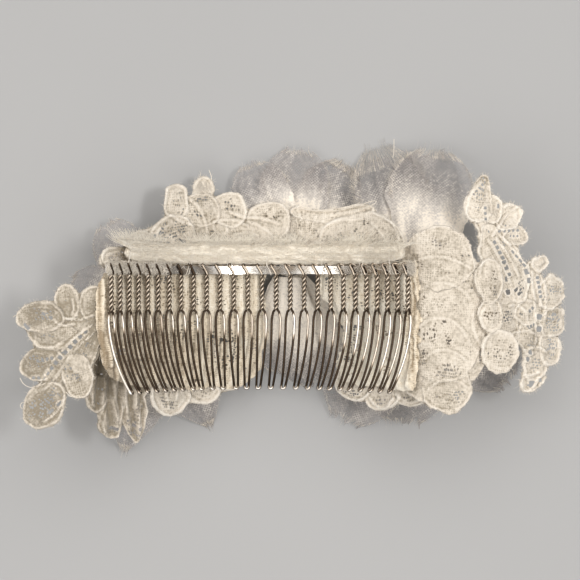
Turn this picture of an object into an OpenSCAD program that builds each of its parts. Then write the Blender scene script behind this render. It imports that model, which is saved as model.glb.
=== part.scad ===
// Bridal hair comb, lying face-down: a bent wire comb sewn on layered lace, over three organza
// flowers. X runs along the comb, +Y is the side of the bar and +Z the side of the head.
// The origin is the middle of the part's box, on the surface that the part lies on.

/* [Comb] */
// Number of wire teeth
tooth_count = 26; // [22:1:26]
// Distance from tooth to tooth along the bar
tooth_pitch = 4.0; // [3.8:0.05:4.0]
// Height of the bar's lowest point above the surface
comb_z = 14; // [14:0.5:18]
// Where the middle of the bar lies along X
comb_x = -11.2; // [-12.3:0.1:-10.3]
// Where the bar lies along Y
bar_y = 7.8; // [7.6:0.1:8]
// Radius that the middle of the bar is bent to
bend_r = 40; // [39:0.5:42]
// Radius of the bar's flatter ends
end_r = 150; // [140:5:200]
// Lean of the whole comb to one side, in degrees
lean = -4.4; // [-5:0.1:-4]
// Height of the flat bar
bar_w = 2.2; // [2:0.1:2.3]
// Thickness of the flat bar
bar_t = 0.6; // [0.5:0.05:0.65]

/* [Teeth] */
// Diameter of the wire
wire_d = 0.75; // [0.6:0.05:0.8]
// Length of the twisted stem
stem_len = 9.8; // [9:0.1:11]
// Distance between a tooth's two prongs
prong_gap = 2.4; // [2.2:0.05:2.5]
// Distance between the prongs just before the tip
tip_gap = 1.0; // [0.95:0.05:1.2]
// Length of the prongs, measured flat
prong_len = 22.4; // [18:0.2:23]
// Radius of the prongs' bend towards the head
prong_bend_r = 38; // [36:1:60]

/* [Lace] */
// Thickness of one layer of lace
lace_t = 1.0; // [0.9:0.05:1.1]
// Depth of the first layer below the middle of the bar
lace_lift = 1.2; // [1.2:0.05:1.3]
// Distance from one layer to the next
layer_pitch = 1.7; // [1.65:0.05:1.8]
// Height of a corded rim above its layer
rim_h = 0.4; // [0.3:0.05:0.4]
// Width of a corded rim
rim_w = 0.9; // [0.7:0.1:1]
// Radius of the lace's fall towards its upper and lower edges
drape_r = 140; // [130:5:180]
// Radius of the crest just past the comb's left end
crest_left_r = 12; // [11.5:0.5:13]
// Radius of the crest just past the comb's right end
crest_right_r = 14; // [13:0.5:15]
// Radius of the left wing's fall
wing_left_r = 32; // [30:1:40]
// Radius of the right wing's fall
wing_right_r = 60; // [55:1:70]
// Width of the sewn roll above the bar
roll_w = 5.0; // [4.6:0.1:5.2]
// Thickness of the sewn roll
roll_t = 3.2; // [2.8:0.1:3.3]

/* [Flowers] */
// Thickness of a petal's solid
petal_t = 1.0; // [0.8:0.05:1.1]
// Radius of a flower's gathered knot
knot_r = 2.4; // [2:0.1:2.5]
// Height of the waves near a petal's tip
ruffle = 0.25; // [0:0.05:0.3]

/* [Hidden] */
$fn = 96;
PI_DEG = 180 / PI;
// Half of the bar's bent middle, and where the lace leaves the comb at each end
BEND_HALF = 35;
LACE_LEFT_S = -45;
LACE_RIGHT_S = 46;
// Lengths of the two wings' outer arcs
WING_LEFT_LEN = 24;
WING_RIGHT_LEN = 42;
// Bar past the last teeth, and the ends of the sewn roll, along the comb
BAR_PAST = 2;
ROLL_S = [-43, 48];
ROLL_Y = bar_y + 4.4;
ROLL_RISE = 1.05;
ROLL_SIDES = 12;
// The lace falls away from this line towards both edges
DRAPE_Y = -5.8;
DRAPE_HALF = 52;
DRAPE_REACH = 24;
// Every prism of lace reaches past the highest layer
PRISM_H = 60;
NOTCH_R = 0.4;
// The tables and outlines of the lace measure X from a line this far from the part's middle
TABLE_X = -1.3;
LOBE_SIDES = 24;
// Neighbouring arcs of a band run this far into each other, and each arc away from the middle
// is thinner by this much on both faces, so that its end lies inside its neighbour
ARC_LAP = 0.3;
ARC_NEST = 0.02;
// Clearance between the wire loops and the bar, and their walls
LOOP_CLEAR = 0.15;
LOOP_WALL_Y = 0.45;
LOOP_WALL_N = 0.5;
LOOP_LEN = 1.1;
STEM_TURNS = 7;
WIRE_SIDES = 5;
PETAL_ROWS = 8;
PETAL_COLS = 6;

// A place on the comb's curve is [x, z, slope in degrees]
COMB_MID = [comb_x, comb_z, lean];

// The place reached after an arc of the given length and signed radius
function arc_step(p, length, r) =
    let(a = p[2] + length / r * PI_DEG)
    [p[0] + r * (sin(a) - sin(p[2])), p[1] + r * (cos(p[2]) - cos(a)), a];

// The place on the comb's curve at distance s from its middle
function comb_at(s) =
    abs(s) <= BEND_HALF
    ? arc_step(COMB_MID, s, bend_r)
    : arc_step(arc_step(COMB_MID, sign(s) * BEND_HALF, bend_r), s - sign(s) * BEND_HALF, end_r);

// Arcs of the comb's own curve between two distances, as [start, length, radius]
function comb_arcs(s0, s1) = [
    [comb_at(s0), -BEND_HALF - s0, end_r],
    [comb_at(-BEND_HALF), 2 * BEND_HALF, bend_r],
    [comb_at(BEND_HALF), s1 - BEND_HALF, end_r]
];

// Arcs of the curve that the lace follows: the comb's, then a crest and a falling wing each side
LEFT_CREST = comb_at(LACE_LEFT_S);
LEFT_CREST_LEN = crest_left_r * LEFT_CREST[2] / PI_DEG;
LEFT_TOP = arc_step(LEFT_CREST, LEFT_CREST_LEN, -crest_left_r);
RIGHT_CREST = comb_at(LACE_RIGHT_S);
RIGHT_CREST_LEN = crest_right_r * RIGHT_CREST[2] / PI_DEG;
RIGHT_TOP = arc_step(RIGHT_CREST, RIGHT_CREST_LEN, -crest_right_r);
WING_LEFT = 0;
CREST_LEFT = 1;
END_LEFT = 2;
MIDDLE = 3;
END_RIGHT = 4;
CREST_RIGHT = 5;
WING_RIGHT = 6;
LACE_ARCS = [
    [LEFT_TOP, -WING_LEFT_LEN, -wing_left_r],
    [LEFT_CREST, LEFT_CREST_LEN, -crest_left_r],
    [LEFT_CREST, -BEND_HALF - LACE_LEFT_S, end_r],
    [comb_at(-BEND_HALF), 2 * BEND_HALF, bend_r],
    [comb_at(BEND_HALF), LACE_RIGHT_S - BEND_HALF, end_r],
    [RIGHT_CREST, RIGHT_CREST_LEN, -crest_right_r],
    [RIGHT_TOP, WING_RIGHT_LEN, -wing_right_r]
];

// Depth of a layer's upper face below the middle of the bar
function layer_top(layer) = lace_lift + (layer - 1) * layer_pitch;

// Lace motifs, one row for each lobe: centre, direction, length, width, and 1 for a pointed tip
//     x,     y,  angle, length, width, point
LEFT_SPRIG_LOBES = [
    [-66.9, -5.0, 188, 13.2, 9.4, 0],
    [-59.5, -1.0, 100, 10.2, 7.2, 0],
    [-53.0, -1.4, 90, 9.2, 6.8, 0],
    [-63.5, -10.0, 178, 14.0, 7.2, 0],
    [-66.6, -17.4, 195, 13.4, 9.2, 0],
    [-66.0, -28.8, 232, 14.4, 10.8, 0],
    [-57.0, -20.5, -72, 12.4, 9.2, 0],
    [-56.0, -15.4, 63, 18.6, 8.4, 0],
    [-53.8, -12.4, 70, 14.0, 8.0, 0],
    [-56.0, -9.8, 215, 18.8, 12.4, 0],
    [-59.8, -16.5, 228, 20.8, 7.0, 0],
    [-50.6, -5.6, 90, 14.6, 9.0, 0]
];
LOWER_LEFT_LOBES = [
    [-53.2, -25.8, 262, 10.4, 6.0, 0],
    [-49.6, -33.2, 265, 12.0, 7.2, 0],
    [-43.0, -33.0, 270, 15.4, 10.2, 1],
    [-46.4, -25.2, 180, 14.4, 12.4, 0]
];
BOTTOM_LEFT_LOBES = [
    [-33.2, -27.6, 270, 11.6, 11.2, 0],
    [-24.6, -25.2, 270, 10.2, 10.2, 0],
    [-16.5, -22.8, 270, 7.4, 6.4, 0],
    [-26.5, -22.6, 180, 22.0, 9.6, 0]
];
TOP_LEFT_LOBES = [
    [-47.0, 10.6, 90, 7.2, 7.2, 0],
    [-41.0, 14.0, 90, 9.4, 9.0, 0],
    [-33.0, 17.6, 90, 11.8, 11.8, 0],
    [-32.2, 26.4, 92, 10.8, 7.4, 0],
    [-24.9, 24.8, 90, 9.6, 11.0, 0],
    [-24.8, 30.8, 92, 7.6, 5.8, 0],
    [-17.4, 25.0, 90, 10.4, 10.4, 0],
    [-6.4, 21.6, 90, 12.6, 12.6, 0],
    [-21.0, 15.0, 0, 45.0, 14.4, 0],
    [-38.6, 11.0, 8, 25.4, 6.6, 0]
];
TOP_MIDDLE_LOBES = [
    [19.6, 15.2, 0, 23.4, 18.4, 0],
    [11.9, 24.4, 0, 23.8, 6.4, 0],
    [4.6, 19.4, 90, 10.4, 13.2, 0],
    [5.0, 14.0, 0, 14.0, 12.0, 0]
];
RIGHT_MAIN_LOBES = [
    [40.4, 10.9, 0, 19.0, 17.4, 0],
    [41.5, -5.9, 90, 34.0, 22.6, 0],
    [42.2, -24.4, 270, 13.6, 13.0, 0],
    [48.0, -16.2, 0, 11.0, 12.0, 0],
    [50.6, -0.6, 90, 21.6, 8.0, 0],
    [36.6, -22.2, 0, 13.4, 13.4, 0]
];
RIGHT_EDGE_LOBES = [
    [54.0, 4.6, 90, 12.6, 8.2, 0],
    [54.2, -4.4, 90, 10.0, 7.2, 0],
    [56.6, -14.6, 90, 12.6, 9.8, 0]
];
RIGHT_SPRIG_LOBES = [
    [51.8, 27.2, 76, 13.8, 10.6, 1],
    [55.4, 24.2, 66, 8.0, 6.0, 0],
    [59.8, 22.2, 40, 9.4, 7.2, 0],
    [61.8, 17.0, 15, 7.6, 5.6, 0],
    [58.2, 9.8, 117, 23.6, 11.0, 0],
    [69.2, 9.4, 30, 5.6, 4.4, 0],
    [72.4, 1.6, 80, 10.0, 8.4, 0],
    [73.0, -7.0, 90, 8.4, 8.4, 0],
    [71.6, -14.2, 80, 9.0, 7.4, 0],
    [65.0, -3.8, 90, 8.4, 8.0, 0],
    [65.6, -10.8, 90, 10.0, 8.0, 0],
    [67.6, -2.2, 96, 23.8, 7.0, 0],
    [67.2, -17.2, 80, 12.0, 7.6, 0],
    [66.4, -22.6, 30, 8.0, 6.0, 0],
    [54.0, 19.4, 100, 12.0, 8.0, 0],
    [58.8, -5.4, 90, 17.0, 8.6, 0]
];
BOTTOM_RIGHT_LOBES = [
    [17.8, -24.3, 270, 10.2, 10.2, 0],
    [25.2, -26.8, 270, 9.0, 9.6, 0],
    [32.4, -25.5, 270, 8.4, 9.4, 0],
    [25.6, -21.6, 0, 25.6, 9.6, 0]
];

// Pierced holes, one row for each run: first and last hole, number of holes, their length along
// the run and their width
//        x0,    y0,    x1,    y1, count, length, width
LEFT_SPRIG_HOLES = [
    [-54.6, -8.8, -65.0, -20.0, 9, 1.1, 1.1],
    [-67.4, -16.8, -63.4, -16.0, 4, 0.8, 0.9],
    [-65.8, -4.2, -64.0, -5.2, 2, 1.1, 0.8],
    [-70.4, -7.6, -69.4, -8.4, 1, 2.4, 0.8],
    [-64.0, -30.4, -61.6, -28.2, 2, 1.8, 0.8],
    [-68.8, -21.4, -66.0, -21.4, 3, 0.8, 0.8]
];
LOWER_LEFT_HOLES = [
    [-48.8, -36.0, -48.6, -36.0, 1, 2.2, 0.8],
    [-43.4, -35.6, -42.0, -36.0, 2, 0.9, 1.0]
];
TOP_LEFT_HOLES = [
    [-37.6, 17.2, -36.2, 18.2, 2, 0.9, 1.1],
    [-35.4, 15.8, -34.0, 15.2, 2, 0.9, 1.1],
    [-29.8, 15.8, -29.6, 15.8, 1, 1.1, 1.1]
];
RIGHT_SPRIG_HOLES = [
    [50.2, 28.4, 52.6, 31.0, 4, 0.6, 0.6],
    [53.2, 24.6, 53.4, 21.6, 3, 0.8, 0.8],
    [57.0, 25.2, 57.0, 25.1, 1, 1.2, 0.7],
    [57.2, 18.2, 62.6, 18.6, 5, 0.7, 0.7],
    [60.6, 17.0, 62.6, 17.0, 3, 0.5, 0.6],
    [55.6, 15.2, 57.8, 11.0, 4, 1.0, 0.9],
    [58.1, 9.8, 59.4, 6.4, 3, 0.9, 1.2],
    [60.8, 12.6, 64.0, 9.0, 4, 1.1, 0.6],
    [64.7, 7.2, 65.4, 4.8, 2, 1.5, 1.1],
    [58.9, 5.2, 59.2, 1.6, 2, 1.4, 1.1],
    [61.4, 2.2, 62.4, 1.2, 2, 0.8, 1.1],
    [68.0, 5.6, 69.0, 0.4, 5, 0.8, 1.0],
    [66.6, -2.8, 65.6, -3.6, 2, 0.8, 0.9],
    [68.7, -5.2, 68.5, -8.6, 2, 1.5, 1.2],
    [65.2, -8.0, 67.0, -7.4, 3, 0.6, 0.9],
    [65.5, -14.9, 65.0, -16.8, 2, 1.2, 0.9],
    [64.0, -23.0, 65.7, -22.6, 2, 1.1, 1.4]
];

// Organza flowers: centre, height where the petals leave the knot, and the knot's two heights
//                x,    y, knot bottom, knot top
FLOWER_LEFT = [-39.3, -4.0, 15.4, 23.4];
FLOWER_MIDDLE = [-2.2, 8.6, 1.6, 9.2];
FLOWER_RIGHT = [35.1, 3.6, 24.6, 33.2];

// Petals, one row each: direction, length, width, height at the knot, height at the tip,
// and 1 for a pointed tip
//  angle, length, width, z0, z1, point
PETALS_LEFT = [
    [161, 25.5, 14, 20.2, 10.6, 0],
    [120, 29.0, 15, 17.0, 7.2, 0],
    [38, 24.0, 15, 18.6, 8.0, 0],
    [-66, 36.0, 18, 17.0, 0, 1],
    [-104, 41.0, 17, 18.6, 1.8, 1]
];
PETALS_MIDDLE = [
    [109, 31.5, 17, 5.4, 3.4, 0],
    [84, 34.0, 20, 3.6, 1.7, 0],
    [60, 34.5, 17, 1.8, 0, 0],
    [-92, 30.0, 19, 5.4, 2.4, 0],
    [-74, 34.5, 22, 3.6, 0, 0]
];
PETALS_RIGHT = [
    [106, 41.0, 20, 27.4, 0.6, 0],
    [82, 39.0, 24, 29.2, 4.0, 0],
    [-47, 38.5, 20, 25.6, 0, 0],
    [-95, 40.0, 24, 27.4, 0, 0],
    [-118, 44.0, 22, 29.2, 1.9, 0]
];
// Shape of a petal: where it is widest, width of its root, and how the width ends at the tip
PETAL_WIDEST = 0.66;
PETAL_ROOT = 0.42;
TIP_ROUND = 0.42;
TIP_POINTED = 0.14;
PETAL_FALL = 1.15;
ROOT_CLEAR = 0.3;
RUFFLE_WAVES = 2.5;

function two_digits(i) = i < 10 ? str("0", i) : str(i);
function tooth_name(i) = str("tooth_", two_digits(i));
FLOWER_NAMES = ["left", "middle", "right"];
FLOWERS = [FLOWER_LEFT, FLOWER_MIDDLE, FLOWER_RIGHT];
PETALS = [PETALS_LEFT, PETALS_MIDDLE, PETALS_RIGHT];
function knot_name(f) = str("knot_", FLOWER_NAMES[f]);
function petal_name(f, k) = str("petal_", FLOWER_NAMES[f], "_", k + 1);

// Sweeps a profile along an arc. The profile's first axis is the distance from the arc's
// centre and its second is -Y
module arc_sweep(arc) {
    a0 = arc[0][2];
    r = arc[2];
    a1 = a0 + arc[1] / r * PI_DEG;
    lap = ARC_LAP / abs(r) * PI_DEG;
    turn = r > 0 ? -90 : 90;
    translate([arc[0][0] - r * sin(a0), 0, arc[0][1] + r * cos(a0)])
        rotate([90, 0, 0])
            rotate([0, 0, min(a0, a1) + turn - lap])
                rotate_extrude(angle = abs(a1 - a0) + 2 * lap)
                    children();
}

// Section of a draped band between two depths, for an arc of signed radius r
module drape_section(r, depth0, depth1) {
    reach = r > 0 ? DRAPE_REACH : abs(r) - 0.1;
    window_x = r > 0 ? -drape_r : drape_r - reach;
    translate([abs(r) + sign(r) * drape_r, -DRAPE_Y])
        intersection() {
            difference() {
                circle(drape_r - depth0, $fn = 180);
                circle(drape_r - depth1, $fn = 180);
            }
            translate([window_x, -DRAPE_HALF])
                square([reach + 1, 2 * DRAPE_HALF]);
        }
}

// A band of the lace's curved surface over the named arcs
module lace_band(arcs, depth0, depth1) {
    for (i = arcs) {
        nest = ARC_NEST * abs(i - MIDDLE);
        arc_sweep(LACE_ARCS[i])
            drape_section(LACE_ARCS[i][2], depth0 + nest, depth1 - nest);
    }
}

module lobe(row) {
    translate([row[0] + TABLE_X, row[1]])
        rotate(row[2])
            polygon([
                for (i = [0 : LOBE_SIDES - 1])
                    let(a = i * 360 / LOBE_SIDES)
                    [row[3] / 2 * cos(a), row[4] / 2 * sin(a) * (1 - 0.32 * row[5] * (1 + cos(a)))]
            ]);
}

module hole_run(row) {
    step = row[4] > 1 ? [row[2] - row[0], row[3] - row[1]] / (row[4] - 1) : [0, 0];
    heading = atan2(row[3] - row[1], row[2] - row[0]);
    for (k = [0 : row[4] - 1])
        translate([row[0] + TABLE_X, row[1]] + k * step)
            rotate(heading)
                square([row[5], row[6]], center = true);
}

// Outline of a motif: its lobes with the notches between them rounded, less its holes
module motif(lobes, holes) {
    difference() {
        offset(r = -NOTCH_R, $fn = 16)
            offset(delta = NOTCH_R)
                for (row = lobes)
                    lobe(row);
        for (row = holes)
            hole_run(row);
    }
}

// One layer of lace: an upright prism of the motif, cut by the draped band
module flat_lace(arcs, layer) {
    intersection() {
        linear_extrude(PRISM_H)
            children();
        lace_band(arcs, layer_top(layer), layer_top(layer) + lace_t);
    }
}

// The same with a raised cord along the motif's outer edge. The first child is the pierced
// motif and the second is its bare outline
module rimmed_lace(arcs, layer) {
    top = layer_top(layer);
    difference() {
        intersection() {
            linear_extrude(PRISM_H)
                children(0);
            lace_band(arcs, top - rim_h, top + lace_t);
        }
        intersection() {
            linear_extrude(PRISM_H)
                offset(delta = -rim_w)
                    children(1);
            lace_band(arcs, top - 2 * rim_h, top);
        }
    }
}

module comb_bar() {
    half = (tooth_count - 1) / 2 * tooth_pitch + BAR_PAST;
    color("silver")
        for (arc = comb_arcs(-half, half)) {
            nest = arc[2] == bend_r ? 0 : ARC_NEST;
            arc_sweep(arc)
                translate([arc[2] - bar_t / 2 + nest, -bar_y - bar_w / 2 + nest])
                    square([bar_t - 2 * nest, bar_w - 2 * nest]);
        }
}

module binding_roll() {
    color("antiquewhite")
        for (arc = comb_arcs(ROLL_S[0], ROLL_S[1])) {
            nest = arc[2] == bend_r ? 0 : ARC_NEST;
            arc_sweep(arc)
                translate([arc[2] + roll_t / 2 - ROLL_RISE, -ROLL_Y])
                    polygon([
                        for (i = [0 : ROLL_SIDES - 1])
                            let(a = (i + 0.5) * 360 / ROLL_SIDES)
                            [(roll_t / 2 - nest) * cos(a), (roll_w / 2 - nest) * sin(a)]
                    ]);
        }
}

// A bare loop of wire round the bar
module wire_loop() {
    inner_y = bar_w + 2 * LOOP_CLEAR;
    inner_n = bar_t + 2 * LOOP_CLEAR;
    difference() {
        cube([LOOP_LEN, inner_y + 2 * LOOP_WALL_Y, inner_n + 2 * LOOP_WALL_N], center = true);
        cube([2 * LOOP_LEN, inner_y, inner_n], center = true);
    }
}

// The twisted pair, as a stem with one swelling for each crossing of the wires
module twisted_stem(length) {
    step = length / STEM_TURNS;
    rotate([90, 0, 0])
        rotate_extrude($fn = 24)
            polygon(concat(
                [[0, 0]],
                [for (i = [0 : 2 * STEM_TURNS]) [wire_d * (i % 2 == 0 ? 0.8 : 1.04), i * step / 2]],
                [[0, length]]
            ));
}

// Middle line of the two prongs, from the stem to the U at the tip and back
function prong_rise(y) = prong_bend_r - sqrt(pow(prong_bend_r, 2) - pow(y, 2));
PRONG_STATIONS = [[-0.4, 0.43], [0.2, 0.46], [1.4, prong_gap / 2], [6.5, prong_gap / 2],
                  [11, prong_gap / 2 - 0.1], [15.5, (prong_gap + tip_gap) / 4],
                  [prong_len - 0.6, tip_gap / 2], [prong_len - 0.2, tip_gap / 3]];
function prong_point(y, x) = [x, -y, prong_rise(max(y, 0))];
PRONG_PATH = concat(
    [for (st = PRONG_STATIONS) prong_point(st[0], st[1])],
    [prong_point(prong_len, 0)],
    [for (i = [len(PRONG_STATIONS) - 1 : -1 : 0])
        prong_point(PRONG_STATIONS[i][0], -PRONG_STATIONS[i][1])]
);

// A round wire of few sides swept along a path
module wire(path) {
    last = len(path) - 1;
    points = [
        for (i = [0 : last])
            let(
                along = path[min(i + 1, last)] - path[max(i - 1, 0)],
                t = along / norm(along),
                side = cross(t, [0, 0, 1]),
                u = side / norm(side),
                w = cross(u, t)
            )
            for (k = [0 : WIRE_SIDES - 1])
                let(a = k * 360 / WIRE_SIDES)
                path[i] + wire_d / 2 * (cos(a) * u + sin(a) * w)
    ];
    faces = concat(
        [[for (k = [WIRE_SIDES - 1 : -1 : 0]) k]],
        [for (i = [0 : last - 1], k = [0 : WIRE_SIDES - 1])
            let(a = i * WIRE_SIDES + k, b = i * WIRE_SIDES + (k + 1) % WIRE_SIDES)
            [a, b, b + WIRE_SIDES, a + WIRE_SIDES]],
        [[for (k = [0 : WIRE_SIDES - 1]) last * WIRE_SIDES + k]]
    );
    polyhedron(points, faces, convexity = 6);
}

module tooth(i) {
    place = comb_at((i - (tooth_count + 1) / 2) * tooth_pitch);
    loop_half = bar_w / 2 + LOOP_CLEAR + LOOP_WALL_Y / 2;
    color("silver")
        translate([place[0], bar_y, place[1]])
            rotate([0, -place[2], 0]) {
                wire_loop();
                translate([0, -loop_half, 0])
                    twisted_stem(stem_len);
                translate([0, -loop_half - stem_len, 0])
                    wire(PRONG_PATH);
            }
}

module backing_left() {
    color("linen")
        flat_lace([CREST_LEFT, END_LEFT, MIDDLE], 1)
            translate([TABLE_X, 0])
                polygon([[-47.6, 9.4], [-49.6, 5.4], [-51.4, 1.8], [-50.6, -8], [-49.8, -18],
                         [-48.6, -22.6], [-30, -25.6], [-13.6, -25.4], [-8, -20.4], [-6.4, -10],
                         [-7.6, 0], [-6.4, 9.4]]);
}

module backing_right() {
    color("linen")
        flat_lace([MIDDLE, END_RIGHT, CREST_RIGHT], 1)
            translate([TABLE_X, 0])
                polygon([[8.4, 9.4], [8.0, 2.6], [11.0, -3.0], [15.0, -8], [12.8, -18], [14.4, -24.6],
                         [26, -25.6], [34.6, -24.4], [34.4, -8], [34.0, 9.4]]);
}

// The two upper motifs share one layer and part along a seam
SEAM_X = -2.8;
SEAM_GAP = 0.3;
SEAM_REACH = 60;

module left_of_seam() {
    intersection() {
        children();
        translate([SEAM_X - SEAM_GAP / 2 - SEAM_REACH, 0])
            square([SEAM_REACH, SEAM_REACH]);
    }
}

module right_of_seam() {
    intersection() {
        children();
        translate([SEAM_X + SEAM_GAP / 2, 0])
            square([SEAM_REACH, SEAM_REACH]);
    }
}

module top_left_lace() {
    color("ivory")
        rimmed_lace([CREST_LEFT, END_LEFT, MIDDLE], 2) {
            left_of_seam() motif(TOP_LEFT_LOBES, TOP_LEFT_HOLES);
            left_of_seam() motif(TOP_LEFT_LOBES, []);
        }
}

module top_middle_lace() {
    color("ivory")
        rimmed_lace([MIDDLE, END_RIGHT, CREST_RIGHT], 2) {
            right_of_seam() motif(TOP_MIDDLE_LOBES, []);
            right_of_seam() motif(TOP_MIDDLE_LOBES, []);
        }
}

module left_sprig() {
    color("ivory")
        rimmed_lace([WING_LEFT, CREST_LEFT, END_LEFT], 2) {
            motif(LEFT_SPRIG_LOBES, LEFT_SPRIG_HOLES);
            motif(LEFT_SPRIG_LOBES, []);
        }
}

module bottom_left_lace() {
    color("ivory")
        rimmed_lace([END_LEFT, MIDDLE], 2) {
            motif(BOTTOM_LEFT_LOBES, []);
            motif(BOTTOM_LEFT_LOBES, []);
        }
}

module right_main_lace() {
    color("ivory")
        rimmed_lace([END_RIGHT, CREST_RIGHT, WING_RIGHT], 2) {
            motif(RIGHT_MAIN_LOBES, []);
            motif(RIGHT_MAIN_LOBES, []);
        }
}

module right_lobes() {
    color("ivory")
        rimmed_lace([WING_RIGHT], 1) {
            motif(RIGHT_EDGE_LOBES, []);
            motif(RIGHT_EDGE_LOBES, []);
        }
}

module right_sprig() {
    color("ivory")
        rimmed_lace([CREST_RIGHT, WING_RIGHT], 3) {
            motif(RIGHT_SPRIG_LOBES, RIGHT_SPRIG_HOLES);
            motif(RIGHT_SPRIG_LOBES, []);
        }
}

module bottom_right_lace() {
    color("ivory")
        rimmed_lace([MIDDLE, END_RIGHT, CREST_RIGHT], 3) {
            motif(BOTTOM_RIGHT_LOBES, []);
            motif(BOTTOM_RIGHT_LOBES, []);
        }
}

// The gathered lower-left motif hangs by itself: it tips down to the right and falls towards -Y
LOWER_LEFT_TOP = [-47.3, -19, 25.5];
LOWER_LEFT_TIP = 20;
LOWER_LEFT_R = 45;

module lower_left_band(depth0, depth1) {
    translate(LOWER_LEFT_TOP)
        rotate([0, LOWER_LEFT_TIP, 0])
            translate([0, 0, -LOWER_LEFT_R])
                rotate([0, 90, 0])
                    difference() {
                        cylinder(r = LOWER_LEFT_R - depth0, h = 2 * SEAM_REACH, center = true);
                        cylinder(r = LOWER_LEFT_R - depth1, h = 3 * SEAM_REACH, center = true);
                    }
}

module lower_left_lace() {
    color("ivory")
        difference() {
            intersection() {
                translate([0, 0, LOWER_LEFT_R / 5])
                    linear_extrude(PRISM_H)
                        motif(LOWER_LEFT_LOBES, LOWER_LEFT_HOLES);
                lower_left_band(-rim_h, lace_t);
            }
            intersection() {
                linear_extrude(PRISM_H)
                    offset(delta = -rim_w)
                        motif(LOWER_LEFT_LOBES, []);
                lower_left_band(-2 * rim_h, 0);
            }
        }
}

// The stitched middle of a flower, as a rounded button
module knot(f) {
    flower = FLOWERS[f];
    h = flower[3] - flower[2];
    color("whitesmoke")
        translate([flower[0], flower[1], flower[2]])
            rotate_extrude($fn = 32)
                polygon([[0, 0], [knot_r * 0.7, 0], [knot_r, h * 0.2], [knot_r, h * 0.75],
                         [knot_r * 0.6, h], [0, h]]);
}

// Half the width of a petal at the fraction u of its length
function petal_half(row, u) =
    let(
        grow = PETAL_ROOT + (1 - PETAL_ROOT) * sin(90 * min(1, u / PETAL_WIDEST)),
        past = max(0, (u - PETAL_WIDEST) / (1 - PETAL_WIDEST)),
        tip = row[5] == 1 ? TIP_POINTED : TIP_ROUND,
        power = row[5] == 1 ? 1.3 : 2.6,
        close = tip + (1 - tip) * (1 - pow(past, power))
    )
    row[2] / 2 * grow * close;

// Under side of a petal. Its height depends on the distance from the flower's middle, so that
// petals on different levels never meet
function petal_point(flower, row, u, v) =
    let(
        r0 = knot_r + ROOT_CLEAR,
        along = r0 + u * (row[1] - r0),
        across = v * petal_half(row, u),
        r = norm([along, across]),
        fall = pow(min(1, max(0, (r - r0) / (row[1] - r0))), PETAL_FALL),
        wave = ruffle * u * u * (1 + sin(RUFFLE_WAVES * 180 * v + 90 * row[0] / 45))
    )
    [
        flower[0] + along * cos(row[0]) - across * sin(row[0]),
        flower[1] + along * sin(row[0]) + across * cos(row[0]),
        row[3] + (row[4] - row[3]) * fall + wave
    ];

// A thin solid between a grid of points and the same grid raised by a thickness
module sheet_solid(points, rows, cols, t) {
    n = cols + 1;
    count = (rows + 1) * n;
    solid_points = concat(points, [for (p = points) p + [0, 0, t]]);
    faces = concat(
        [for (i = [0 : rows - 1], j = [0 : cols - 1])
            let(a = i * n + j + count)
            each [[a, a + 1, a + n + 1], [a, a + n + 1, a + n]]],
        [for (i = [0 : rows - 1], j = [0 : cols - 1])
            let(a = i * n + j)
            each [[a, a + n + 1, a + 1], [a, a + n, a + n + 1]]],
        [for (i = [0 : rows - 1], side = [0, 1])
            let(
                a = (side == 0 ? i : i + 1) * n + side * cols,
                b = (side == 0 ? i + 1 : i) * n + side * cols
            )
            each [[a + count, b + count, b], [a + count, b, a]]],
        [for (j = [0 : cols - 1], side = [0, 1])
            let(
                a = side * rows * n + (side == 0 ? j + 1 : j),
                b = side * rows * n + (side == 0 ? j : j + 1)
            )
            each [[a + count, b + count, b], [a + count, b, a]]]
    );
    polyhedron(solid_points, faces, convexity = 4);
}

module petal(f, k) {
    row = PETALS[f][k];
    color("gainsboro", 0.8)
        sheet_solid([
            for (i = [0 : PETAL_ROWS], j = [0 : PETAL_COLS])
                petal_point(FLOWERS[f], row, i / PETAL_ROWS, 2 * j / PETAL_COLS - 1)
        ], PETAL_ROWS, PETAL_COLS, petal_t);
}

comb_bar();
binding_roll();
backing_left();
backing_right();
top_left_lace();
top_middle_lace();
left_sprig();
lower_left_lace();
bottom_left_lace();
right_main_lace();
right_lobes();
right_sprig();
bottom_right_lace();
for (i = [1 : tooth_count])
    tooth(i);
for (f = [0 : 2])
    knot(f);
for (f = [0 : 2], k = [0 : len(PETALS[f]) - 1])
    petal(f, k);
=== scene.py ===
"""Bridal hair comb lying face-down: wire teeth sewn on layered lace, over organza flowers."""
import math
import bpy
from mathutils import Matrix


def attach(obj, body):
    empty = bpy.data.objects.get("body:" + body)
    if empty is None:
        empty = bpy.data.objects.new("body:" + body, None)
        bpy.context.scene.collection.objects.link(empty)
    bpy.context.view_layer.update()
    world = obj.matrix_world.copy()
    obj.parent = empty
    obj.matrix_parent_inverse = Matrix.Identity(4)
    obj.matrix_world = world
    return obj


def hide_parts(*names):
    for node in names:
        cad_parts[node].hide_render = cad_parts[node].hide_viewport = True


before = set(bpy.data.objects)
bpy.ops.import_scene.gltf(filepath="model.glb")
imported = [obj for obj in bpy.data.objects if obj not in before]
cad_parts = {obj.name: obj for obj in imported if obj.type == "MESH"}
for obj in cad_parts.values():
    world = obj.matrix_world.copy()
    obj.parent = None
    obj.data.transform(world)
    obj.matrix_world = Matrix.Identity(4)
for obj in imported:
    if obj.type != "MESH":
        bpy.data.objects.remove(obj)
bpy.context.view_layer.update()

from types import SimpleNamespace

import bpy
import numpy as np

rng = np.random.default_rng(11)

# Sizes are in millimetres and angles in radians, unless a name says otherwise
MM = 0.001

# The camera looks straight down from the photograph's place
CAMERA_X, CAMERA_Y, CAMERA_Z = -1.3, 2.2, 509.0
PHOTO_SIZE = 580
PHOTO_FOCAL = 1755.0
SENSOR = 36.0

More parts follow.
